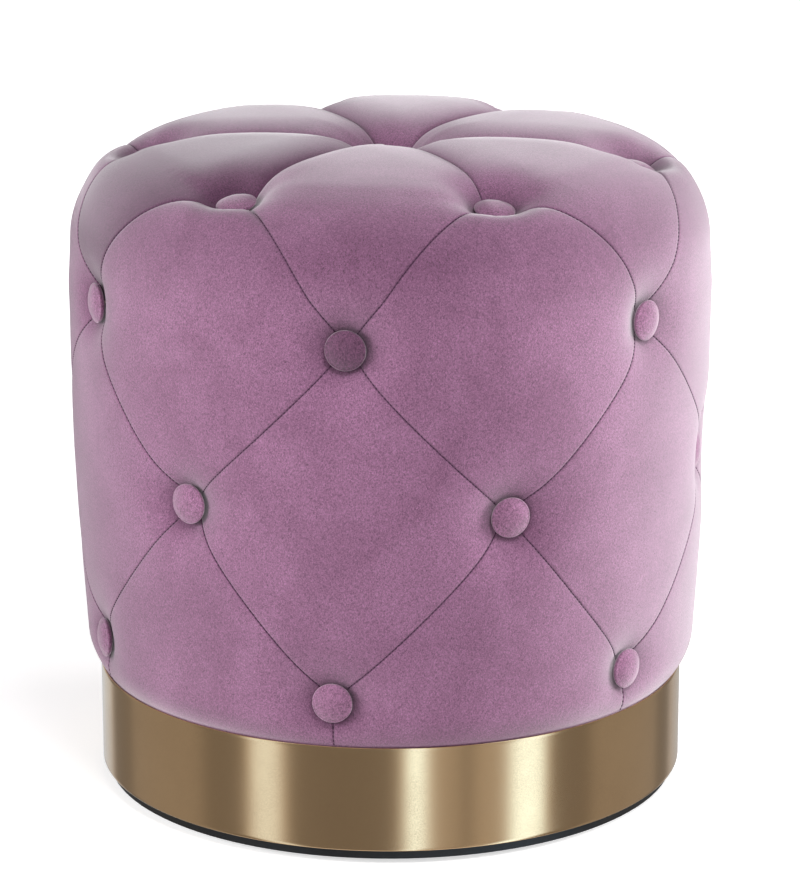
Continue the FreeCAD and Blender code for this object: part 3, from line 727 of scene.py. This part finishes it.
# %% Groups for wood and for fine wear
wood_group, add, given, result = new_group(
    "wood_figure", [("Vector", "NodeSocketVector", None), ("Rings", "NodeSocketFloat", 90.0)],
    [("Mask", "NodeSocketFloat")])
stretched = add("ShaderNodeMapping", {"Vector": given.outputs["Vector"], "Scale": (1.0, 0.25, 1.0)})
bands = add("ShaderNodeTexWave", {"Vector": stretched.outputs["Vector"], "Scale": given.outputs["Rings"],
                                  "Distortion": 6.0, "Detail": 3.0, "Detail Scale": 1.5})
pores = add("ShaderNodeTexNoise", {"Vector": stretched.outputs["Vector"], "Scale": 900.0, "Detail": 2.0})
both = add("ShaderNodeMath", {0: bands.outputs["Fac"], 1: pores.outputs["Fac"]}, operation="MULTIPLY")
wood_group.links.new(both.outputs[0], result.inputs["Mask"])

wear_group, add, given, result = new_group(
    "fine_wear", [("Vector", "NodeSocketVector", None), ("Size", "NodeSocketFloat", 40.0)],
    [("Mask", "NodeSocketFloat")])
smudge = add("ShaderNodeTexNoise", {"Vector": given.outputs["Vector"], "Scale": given.outputs["Size"],
                                    "Detail": 4.0, "Roughness": 0.6})
speck = add("ShaderNodeTexNoise", {"Vector": given.outputs["Vector"], "Scale": 1500.0, "Detail": 1.0})
both = add("ShaderNodeMath", {0: smudge.outputs["Fac"], 1: speck.outputs["Fac"]}, operation="MULTIPLY")
mask = add("ShaderNodeMapRange", {"Value": both.outputs[0], "From Min": 0.15, "From Max": 0.4})
wear_group.links.new(mask.outputs["Result"], result.inputs["Mask"])
print("groups:", [tree.name for tree in bpy.data.node_groups])


# %% Polished gold
def gold_material():
    made, add, shader, place = new_material("polished_gold")
    link = made.node_tree.links.new
    squeezed = add("ShaderNodeMapping", {"Vector": place, "Scale": (1.0, 1.0, 14.0)})
    rolled = add("ShaderNodeTexNoise", {"Vector": squeezed.outputs["Vector"], "Scale": 260.0,
                                        "Detail": 3.0})
    wear = use_group(add, wear_group, {"Vector": place, "Size": 24.0})
    gold = mixed(add, wear.outputs["Mask"], colour(227, 190, 146), colour(219, 182, 140))
    link(gold, shader.inputs["Base Color"])
    rough = add("ShaderNodeMapRange", {"Value": wear.outputs["Mask"], "To Min": 0.13, "To Max": 0.19})
    link(rough.outputs["Result"], shader.inputs["Roughness"])
    bump = add("ShaderNodeBump", {"Strength": 0.06, "Distance": 0.0001, "Height": rolled.outputs["Fac"]})
    link(bump.outputs["Normal"], shader.inputs["Normal"])
    set_plain(shader, Metallic=1.0)
    return made


gold = gold_material()
print("metal:", gold.name)


# %% Wood, board, paint, plastic, foam, thread and steel
def patterned(name, group, size_name, size, dark, light, roughness, metallic=0.0, bump_depth=0.0002,
              bump_strength=0.3):
    made, add, shader, place = new_material(name)
    link = made.node_tree.links.new
    pattern = use_group(add, group, {"Vector": place, size_name: size})
    link(mixed(add, pattern.outputs["Mask"], colour(*dark), colour(*light)), shader.inputs["Base Color"])
    rough = add("ShaderNodeMapRange", {"Value": pattern.outputs["Mask"], "To Min": roughness - 0.06,
                                       "To Max": roughness + 0.06})
    link(rough.outputs["Result"], shader.inputs["Roughness"])
    bump = add("ShaderNodeBump", {"Strength": bump_strength, "Distance": bump_depth,
                                  "Height": pattern.outputs["Mask"]})
    link(bump.outputs["Normal"], shader.inputs["Normal"])
    set_plain(shader, Metallic=metallic)
    return made


def wooden(name, rings, dark, light, roughness):
    return patterned(name, wood_group, "Rings", rings, dark, light, roughness)


def worn(name, size, dark, light, roughness, metallic=0.0):
    return patterned(name, wear_group, "Size", size, dark, light, roughness, metallic)


finishes = {
    "velvet": velvet,
    "gold": gold,
    "plywood": wooden("birch_plywood", 60.0, (168, 128, 84), (214, 180, 134), 0.62),
    "pine": wooden("planed_pine", 95.0, (190, 146, 92), (228, 192, 140), 0.58),
    "fibreboard": worn("brown_board", 300.0, (118, 82, 52), (150, 110, 74), 0.8),
    "foam": patterned("cream_foam", grain_group, "Size", 900.0, (196, 184, 148), (236, 228, 200), 0.92,
                      bump_depth=0.0008, bump_strength=0.8),
    "steel": worn("bright_steel", 80.0, (168, 170, 172), (196, 198, 200), 0.32, 1.0),
    "zinc_steel": worn("zinc_steel", 120.0, (186, 188, 180), (206, 208, 204), 0.36, 1.0),
    "black_steel": worn("black_steel", 90.0, (36, 36, 38), (58, 58, 60), 0.45, 1.0),
    "twine": patterned("waxed_twine", grain_group, "Size", 1400.0, (196, 184, 160), (228, 220, 200), 0.85),
    "black_paint": worn("black_paint", 60.0, (20, 19, 19), (32, 30, 29), 0.5),
    "glide_plastic": worn("black_glide", 150.0, (26, 26, 27), (44, 44, 46), 0.55),
}
thread = patterned("seam_thread", grain_group, "Size", 2600.0, (52, 24, 48), (78, 44, 72), 0.8)
for name, solid in frame["nodes"].items():
    solid.data.materials.clear()
    solid.data.materials.append(finishes[slot_of[name]])
print("finishes:", sorted(finishes))

# %% [markdown]
# ## Buttons
#
# All the buttons are alike: a metal shell with a disc of velvet drawn over it. One pattern is turned
# from an outline, and Geometry Nodes set it down at every place. Each copy is turned about its own
# axis by chance, from a fixed seed.

# %% Places of the buttons
button_rows = ((LOWER, 98.3, 176.3), (MIDDLE, 204.9, 179.4), (UPPER, 303.1, 179.7))
rim_lift, centre_lift = 4.2, 2.8
upright = Vector((0.0, 0.0, 1.0))


def flat_direction(row, column):
    turn = math.radians(row_turns[row] + column * step_angle)
    return Vector((math.sin(turn), -math.cos(turn), 0.0))


def button_places():
    """The middle of each button's underside, and the direction it looks."""
    found = []
    for row, height, radius in button_rows:
        outwards = [flat_direction(row, column) for column in range(columns)]
        found += [(outward * radius * mm + upright * height * mm, outward) for outward in outwards]
    radius, height, out, up = (float(value) for value in seat(rim_length))
    for flat in (flat_direction(RIM, column) for column in range(columns)):
        outward = flat * out + upright * up
        found.append(((flat * radius + upright * height + outward * rim_lift) * mm, outward))
    top = float(seat(np.array(form_length))[1]) + centre_lift
    return found + [(upright * top * mm, upright)]


places = button_places()
print("buttons:", len(places), "the middle one at", [round(value / mm, 1) for value in places[-1][0]])


# %% Pattern of one button
def turned_outline(name, outline, around=48):
    """An outline turned about its own axis. It starts and ends in a pole on that axis."""
    turn = 2 * np.pi * np.arange(around) / around
    rings = [np.stack([radius * np.cos(turn), radius * np.sin(turn), np.full(around, height)], -1) * mm
             for radius, height in outline[1:-1]]
    poles = [np.array([[0.0, 0.0, height * mm]]) for _, height in (outline[0], outline[-1])]
    corners = np.concatenate([poles[0], *rings, poles[1]])
    steps, top = [(k, (k + 1) % around) for k in range(around)], len(corners) - 1
    polygons = [(0, 1 + after, 1 + here) for here, after in steps]
    for start in range(1, top - around, around):
        polygons += [(start + here, start + after, start + around + after, start + around + here)
                     for here, after in steps]
    polygons += [(top - around + here, top - around + after, top) for here, after in steps]
    return mesh_object(name, corners, polygons)


button_outline = [(0.0, 0.0), (7.5, 0.0), (9.6, 0.25), (10.7, 0.8), (11.3, 1.6), (11.5, 2.3),
                  (11.42, 2.85), (11.12, 3.25), (10.7, 3.42), (10.35, 3.5), (9.9, 3.72), (9.0, 4.2),
                  (7.6, 4.83), (5.9, 5.38), (4.0, 5.76), (2.0, 5.95), (0.0, 6.0)]
button_pattern = turned_outline("button_pattern", button_outline)
button_pattern.data.materials.append(button_velvet)
smooth(button_pattern)
print("button pattern faces:", len(button_pattern.data.polygons))


# %% Helpers for Geometry Nodes
def new_geometry_tree(name, inputs):
    tree = bpy.data.node_groups.new(name, "GeometryNodeTree")
    tree.interface.new_socket("Geometry", in_out="INPUT", socket_type="NodeSocketGeometry")
    for label, kind, value in inputs:
        socket = tree.interface.new_socket(label, in_out="INPUT", socket_type=kind)
        if value is not None:
            socket.default_value = value
    tree.interface.new_socket("Geometry", in_out="OUTPUT", socket_type="NodeSocketGeometry")
    return tree, node_adder(tree)


def finish_copies(tree, add, copies, material, result):
    """Make the copies real, give them their finish and put them out."""
    real = add("GeometryNodeRealizeInstances", {"Geometry": copies.outputs["Instances"]})
    finished = add("GeometryNodeSetMaterial", {"Geometry": real.outputs["Geometry"], "Material": material})
    tree.links.new(finished.outputs["Geometry"], result.inputs["Geometry"])


def identifier(tree, label):
    return next(item.identifier for item in tree.interface.items_tree
                if item.name == label and item.in_out == "INPUT")


def set_down(name, carrier, tree, values):
    modifier = carrier.modifiers.new("set_down", "NODES")
    modifier.node_group = tree
    for label, value in values.items():
        modifier[identifier(tree, label)] = value
    graph = bpy.context.evaluated_depsgraph_get()
    mesh = bpy.data.meshes.new_from_object(carrier.evaluated_get(graph))
    carrier.modifiers.remove(modifier)
    made = bpy.data.objects.new(name, mesh)
    mesh.name = name
    scene.collection.objects.link(made)
    bpy.data.objects.remove(carrier)
    return made


def keep_values(made, label, values):
    kept = made.data.attributes.new(label, "FLOAT", "POINT")
    kept.data.foreach_set("value", np.array(values, np.float32))


print("helpers for Geometry Nodes ready")

# %% Set the buttons down
tree, add = new_geometry_tree("set_buttons", [
    ("Pattern", "NodeSocketObject", None), ("Size", "NodeSocketFloat", 1.0), ("Seed", "NodeSocketInt", 7),
    ("Full Turn", "NodeSocketFloat", 6.283), ("Finish", "NodeSocketMaterial", None)])
given, result = add("NodeGroupInput"), add("NodeGroupOutput")
faced = add("GeometryNodeInputNamedAttribute", {"Name": "faces"}, data_type="FLOAT_VECTOR")
facing = add("FunctionNodeAlignRotationToVector", {"Vector": faced.outputs["Attribute"]}, axis="Z")
spin = add("FunctionNodeRandomValue", {3: given.outputs["Full Turn"], "Seed": given.outputs["Seed"]},
           data_type="FLOAT")
spun = add("ShaderNodeCombineXYZ", {"Z": spin.outputs[1]})
as_turn = add("FunctionNodeEulerToRotation", {"Euler": spun.outputs["Vector"]})
turned = add("FunctionNodeRotateRotation", {
    "Rotation": facing.outputs["Rotation"],
    "Rotate By": as_turn.outputs["Rotation"]}, rotation_space="LOCAL")
shape = add("GeometryNodeObjectInfo", {"Object": given.outputs["Pattern"], "As Instance": True})
dots = add("GeometryNodeMeshToPoints", {"Mesh": given.outputs["Geometry"]})
copies = add("GeometryNodeInstanceOnPoints", {
    "Points": dots.outputs["Points"], "Instance": shape.outputs["Geometry"],
    "Rotation": turned.outputs["Rotation"], "Scale": given.outputs["Size"]})
finish_copies(tree, add, copies, given.outputs["Finish"], result)

# painted shade: the front button of the upper row is painted dark, as if in shadow, and the others a trace
# darker
other_button_shade, front_button_shade, shaded_button = 0.05, 1.0, 2 * columns
button_shades = np.full(len(places), other_button_shade)
button_shades[shaded_button] = front_button_shade
carrier = mesh_object("button_points", [place for place, _ in places], [])
keep_values(carrier, "painted_shade", button_shades)
faced = carrier.data.attributes.new("faces", "FLOAT_VECTOR", "POINT")
faced.data.foreach_set("vector", np.array([tuple(outward) for _, outward in places], np.float32).ravel())
buttons = set_down("covered_buttons", carrier, tree, {"Pattern": button_pattern, "Finish": button_velvet})
bpy.data.objects.remove(button_pattern)
print("covered buttons:", len(buttons.data.polygons), "faces")

# %% [markdown]
# ## Stitches
#
# The seams are sewn with short even stitches. Geometry Nodes walk along each seam line and lay one
# small bead of thread at every step.

# %% Stitches along the seams
def lines_object(name, paths):
    edges, count = [], 0
    for path in paths:
        edges += [(count + k, count + k + 1) for k in range(len(path) - 1)]
        count += len(path)
    return mesh_object(name, np.concatenate(paths), [], edges)


tree, add = new_geometry_tree("sew", [
    ("Step", "NodeSocketFloat", 0.0024), ("Length", "NodeSocketFloat", 0.0016),
    ("Thickness", "NodeSocketFloat", 0.00065), ("Thread", "NodeSocketMaterial", None)])
given, result = add("NodeGroupInput"), add("NodeGroupOutput")
paths = add("GeometryNodeMeshToCurve", {"Mesh": given.outputs["Geometry"]})
stepped = add("GeometryNodeResampleCurve", {
    "Curve": paths.outputs["Curve"], "Length": given.outputs["Step"]}, mode="LENGTH")
along = add("GeometryNodeInputTangent")
turned = add("FunctionNodeAlignRotationToVector", {"Vector": along.outputs["Tangent"]}, axis="X")
bead_sides, bead_rings = 6, 4
bead = add("GeometryNodeMeshUVSphere", {
    "Segments": bead_sides, "Rings": bead_rings, "Radius": 0.5})
size = add("ShaderNodeCombineXYZ", {"X": given.outputs["Length"], "Y": given.outputs["Thickness"],
                                    "Z": given.outputs["Thickness"]})
copies = add("GeometryNodeInstanceOnPoints", {
    "Points": stepped.outputs["Curve"], "Instance": bead.outputs["Mesh"],
    "Rotation": turned.outputs["Rotation"], "Scale": size.outputs["Vector"]})
finish_copies(tree, add, copies, given.outputs["Thread"], result)
stitches = set_down("seam_stitches", lines_object("seam_lines", lines), tree, {"Thread": thread})
smooth(stitches)
print("stitches:", len(stitches.data.polygons) // (bead_sides * bead_rings))

# %% [markdown]
# ## Finishing the cover
#
# Its form alone doesn't make the velvet look real, so light and shade are painted into its colour.
# Three values are kept on the points of the mesh for the velvet to read: painted shade in each seam
# crease and a painted shadow round each button; painted shade under the rim, in the dimple round each
# button and at the left of the top; and a painted sheen that makes the right side paler, towards the
# light. Each is a formula of the place on the cover. The creases are then pressed into the joined skin.

# %% Painted shade and sheen of the velvet from place to place
# painted shade in the seam creases
seam_shade, seam_shade_width, seam_shade_start, seam_shade_growth = 0.6, 0.42, 3.0, 2.0
# painted shadow round each button, stronger on its right and lower side
hollow_shade, hollow_lean, hollow_down, hollow_inset, hollow_width = 0.45, 0.4, 0.6, 0.3, 1.9
# painted shade under the rim, where the cloth turns down from the top
under_rim_shade, under_rim_start, under_rim_width = 0.4, side_length + 22.0, 20.0
# painted shade in the dimple round each button
dimple_shade, dimple_shade_width = 0.45, 7.0
# painted sheen on the right side, towards the light
painted_sheen_angle, painted_sheen_reach = 95.0, 52.0
painted_sheen_top, painted_sheen_fade, painted_sheen_least = side_length + 40.0, 60.0, 0.35


def shade_values():
    """For each point: painted shade at seams and buttons, under the rim and top left, and painted sheen."""
    near = seam_shade * np.exp(-(seam_distance(lengths, angles) / seam_shade_width) ** 2)
    near *= np.clip((lengths - seam_shade_start) / seam_shade_growth, 0, 1)
    # painted shade at the left of the top and under the rim
    painted_darkness = top_shades + under_rim_shade * np.exp(-((lengths - under_rim_start) / under_rim_width) ** 2)
    for row in (LOWER, MIDDLE, UPPER, RIM):
        around = np.radians(turned_from(angles, row)) * seat(lengths)[0]
        along = lengths - row_lengths[row]
        reach = np.hypot(around, along)
        # painted shadow at the button's edge, leaning to its right and lower side
        lean = (around - hollow_down * along) / np.maximum(reach, 1.0)
        edge = (np.maximum(reach - button_radius + hollow_inset, 0) / hollow_width) ** 2
        near = np.maximum(near, (hollow_shade + hollow_lean * lean) * np.exp(-edge))
        # painted shade in the button's dimple
        painted_darkness += dimple_shade * np.exp(-(np.maximum(reach - button_radius, 0) / dimple_shade_width) ** 2)
    # painted sheen: paler on the right side
    painted_sheen = np.exp(-(wrapped(angles - painted_sheen_angle, 360.0) / painted_sheen_reach) ** 4)
    painted_sheen *= np.clip((painted_sheen_top - lengths) / painted_sheen_fade, painted_sheen_least, 1.0)
    return {"seam_near": near, "painted_shade": np.minimum(painted_darkness, 1.0), "painted_sheen": painted_sheen}


shades = shade_values()
print("mean shades:", {label: round(float(values.mean()), 3) for label, values in shades.items()})


# %% Press the creases and keep the shades
def press_creases(made):
    count = len(lengths)
    corners = np.empty(len(made.data.vertices) * 3, np.float32)
    made.data.vertices.foreach_get("co", corners)
    corners = corners.reshape(-1, 3)
    _, _, out, up = seat(lengths)
    around = np.radians(angles)
    direction = np.stack([out * np.sin(around), -out * np.cos(around), up], -1)
    corners[:count] += direction * crease(lengths, angles)[:, None] * mm
    made.data.vertices.foreach_set("co", corners.ravel())


press_creases(cover)
for label, values in shades.items():
    keep_values(cover, label, np.pad(values, (0, len(cover.data.vertices) - len(values))))
smooth(cover)
cover.data.update()
cover.data.materials.append(velvet)
print("points in the bottom of a crease:", int((seam_distance(lengths, angles) < 0.1).sum()))

# %% [markdown]
# ## Gold band
#
# The band is bent from one strip of sheet. Its two edges are eased over a little, and there the light
# makes a thin bright line, so they are part of the outline that is turned here.

# %% Gold band
band_bottom, band_radius, band_sheet, band_ease, band_flat = 9.0, 175.0, 1.0, 0.45, 2.0


def band_outline(bottom, top, outer, sheet):
    inner, middle, ease = outer - sheet, (bottom + top) / 2, band_ease
    return [(inner, bottom + ease), (inner + 0.25, bottom + 0.08), (inner + 0.5, bottom),
            (outer - 0.2, bottom + 0.12), (outer, bottom + ease), (outer, bottom + band_flat),
            (outer, middle), (outer, top - band_flat), (outer, top - ease), (outer - 0.2, top - 0.12),
            (inner + 0.5, top), (inner + 0.25, top - 0.08), (inner, top - ease), (inner, middle)]


def turned_ring(name, outline, around=256):
    turn = 2 * np.pi * np.arange(around) / around
    corners = np.concatenate([level_ring(turn, radius, height) for radius, height in outline])
    polygons = []
    for place in range(len(outline)):
        here, after = place * around, ((place + 1) % len(outline)) * around
        for k in range(around):
            following = (k + 1) % around
            polygons.append((here + k, here + following, after + following, after + k))
    made = mesh_object(name, corners, polygons)
    smooth(made)
    return made


band = turned_ring("gold_band", band_outline(band_bottom, band_top, band_radius, band_sheet))
band.data.materials.append(finishes["gold"])
print("band:", [round(value / mm, 1) for value in band.dimensions])

# %% [markdown]
# ## Foam
#
# The foam can't be seen on a finished stool, but it is part of the assembly. Its solids already have
# the tufted form and the holes for the twine, so each is copied and merged into one skin. The skin is
# drawn in by a little more than a millimetre, because foam gives way under a cover that is pulled tight.

# %% Foam pieces
foam_give, same_place = 1.2, 0.001


def merged_copy(node, name):
    made = bpy.data.objects.new(name, frame["nodes"][node].data.copy())
    scene.collection.objects.link(made)
    work = bmesh.new()
    work.from_mesh(made.data)
    bmesh.ops.remove_doubles(work, verts=work.verts, dist=same_place * mm)
    work.normal_update()
    for vertex in work.verts:
        vertex.co -= vertex.normal * foam_give * mm
    work.to_mesh(made.data)
    work.free()
    return made


side_foam = merged_copy("side_foam", "side_foam_soft")
seat_foam = merged_copy("seat_foam", "seat_foam_soft")
print("foam faces:", len(side_foam.data.polygons), len(seat_foam.data.polygons))

# %% [markdown]
# ## Attach each piece
#
# Every piece rides on the one body of the stool and stands for the solids that it replaces, which are
# hidden. The stitches replace no solid, because they are part of the cloth.

button_nodes = sorted(name for name in frame["nodes"] if "button" in name and slot_of[name] == "velvet")
for piece, replaced, slot in ((cover, ["velvet_cover"], "velvet"), (buttons, button_nodes, "velvet"),
                              (band, ["metal_band"], "gold"), (side_foam, ["side_foam"], "foam"),
                              (seat_foam, ["seat_foam"], "foam")):
    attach(piece, "root")
    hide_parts(*replaced)
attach(stitches, "root")
print("button solids replaced:", len(button_nodes))

# %% [markdown]
# ## Floor, light and background
#
# The floor and the background are white to the camera and in reflections, and the floor keeps the
# stool's soft shadow. The floor's glow rises with the distance, so that it meets the background without
# a line. The light is large and soft: a high lamp in front, a weak one beside the camera, and one from
# each side, which draw out the puffs.

# %% Floor and background
def background_ray(add):
    """1 for rays that look straight at the background, in a reflection or through glass too."""
    rays = add("ShaderNodeLightPath").outputs
    shown = rays["Is Camera Ray"]
    for ray in ("Is Glossy Ray", "Is Transmission Ray"):
        shown = add("ShaderNodeMath", {0: shown, 1: rays[ray]}, operation="MAXIMUM").outputs[0]
    return shown


def empty_tree(owner):
    owner.use_nodes = True
    owner.node_tree.nodes.clear()
    return node_adder(owner.node_tree)


scene.world = bpy.data.worlds.new("studio")
add = empty_tree(scene.world)
ambient = add("ShaderNodeBackground", {"Color": (1.0, 0.98, 0.99, 1.0), "Strength": 0.04})
white = add("ShaderNodeBackground", {"Color": (1.0, 1.0, 1.0, 1.0), "Strength": 1.0})
chosen = add("ShaderNodeMixShader", {0: background_ray(add), 1: ambient.outputs[0], 2: white.outputs[0]})
add("ShaderNodeOutputWorld", {"Surface": chosen.outputs[0]})

floor_half, glow_near, glow_far = 6.0, 0.3, 1.5
floor = mesh_object("floor", [(-floor_half, -floor_half, 0), (floor_half, -floor_half, 0),
                              (floor_half, floor_half, 0), (-floor_half, floor_half, 0)], [(0, 1, 2, 3)])
paint = bpy.data.materials.new("white_floor")
add = empty_tree(paint)
lit = add("ShaderNodeBsdfDiffuse", {"Color": (0.82, 0.81, 0.81, 1.0)})
place = add("ShaderNodeTexCoord")
reach = add("ShaderNodeVectorMath", {0: place.outputs["Object"]}, operation="LENGTH")
fading = add("ShaderNodeMapRange", {
    "Value": reach.outputs["Value"], "From Min": glow_near, "From Max": glow_far,
    "To Min": 0.6, "To Max": 1.05}, interpolation_type="SMOOTHSTEP")
glow = add("ShaderNodeEmission", {"Color": (1.0, 1.0, 1.0, 1.0), "Strength": fading.outputs["Result"]})
both = add("ShaderNodeAddShader", {0: lit.outputs[0], 1: glow.outputs[0]})
chosen = add("ShaderNodeMixShader", {0: background_ray(add), 1: lit.outputs[0], 2: both.outputs[0]})
add("ShaderNodeOutputMaterial", {"Surface": chosen.outputs[0]})
floor.data.materials.append(paint)
floor.visible_glossy = False
print("floor:", [round(side, 1) for side in floor.dimensions])


# %% Lamps
lamps = (("high_lamp", 24, 1.7, 2.5, 1.1, 43.0), ("front_lamp", 4, 2.6, 0.8, 1.2, 14.5),
         ("right_lamp", 97, 2.2, 0.6, 1.1, 57.0), ("left_lamp", -76, 2.2, 0.75, 1.1, 39.0))
aim = Vector((0.0, 0.0, 0.2))


def lamp(name, azimuth, distance, height, size, power):
    data = bpy.data.lights.new(name, "AREA")
    data.shape, data.size, data.energy = "DISK", size, power
    made = bpy.data.objects.new(name, data)
    turn = math.radians(azimuth)
    made.location = (distance * math.sin(turn), -distance * math.cos(turn), height)
    made.rotation_euler = (aim - made.location).to_track_quat("-Z", "Y").to_euler()
    made.visible_glossy = False
    scene.collection.objects.link(made)
    return made


print("lamps:", [lamp(*values).name for values in lamps])

# %% [markdown]
# ## Studio boards for the band
#
# Polished metal shows only what stands round it. A studio puts tall dark and light boards round the
# table, out of the picture, so that the metal gets its upright streaks. Here they are one tall ring,
# seen in reflections alone.

# %% Boards round the table
boards = ((-48.0, 7.0, 0.8), (9.5, 4.0, 1.25), (20.0, 7.0, 0.22), (53.5, 7.5, 1.3), (38.0, 7.0, 0.25),
          (-98.0, 22.0, 0.12), (105.0, 22.0, 0.12), (158.0, 16.0, 0.3), (-160.0, 19.0, 0.45))
board_dark, board_edge, board_reach, board_height, board_steps = 0.22, 2.6, 2.6, 4.0, 720


def board_light(azimuth):
    light = np.full(len(azimuth), board_dark)
    for centre, half, strength in boards:
        away = np.abs(wrapped(azimuth - centre, 360.0))
        light += strength * 0.5 * (1 - np.tanh((away - half) / board_edge))
    return light


azimuths = 360.0 * np.arange(board_steps) / board_steps
turn = np.radians(azimuths)
ring_points = np.concatenate([level_ring(turn, board_reach / mm, height / mm)
                              for height in (-board_height, board_height)])
steps = [(k, (k + 1) % board_steps) for k in range(board_steps)]
ring = mesh_object("studio_boards", ring_points,
                   [(here, after, board_steps + after, board_steps + here) for here, after in steps])
keep_values(ring, "light", np.tile(board_light(azimuths), 2))
board_paint = bpy.data.materials.new("board_paint")
add = empty_tree(board_paint)
strength = on_mesh(add, "light")
bright = add("ShaderNodeMapRange", {"Value": strength, "From Min": 0.45, "From Max": 1.3})
hue = mixed(add, bright.outputs["Result"], (1.0, 0.985, 0.96, 1.0), (1.0, 1.4, 1.8, 1.0))
glow = add("ShaderNodeEmission", {"Color": hue, "Strength": strength})
add("ShaderNodeOutputMaterial", {"Surface": glow.outputs[0]})
ring.data.materials.append(board_paint)
ring.visible_camera = ring.visible_diffuse = ring.visible_shadow = ring.visible_transmission = False
print("boards:", len(boards))

# %% [markdown]
# ## Colour view
#
# The view stays plain, so colours come out as they are written.

# %% Colour view
scene.view_settings.view_transform = "Standard"
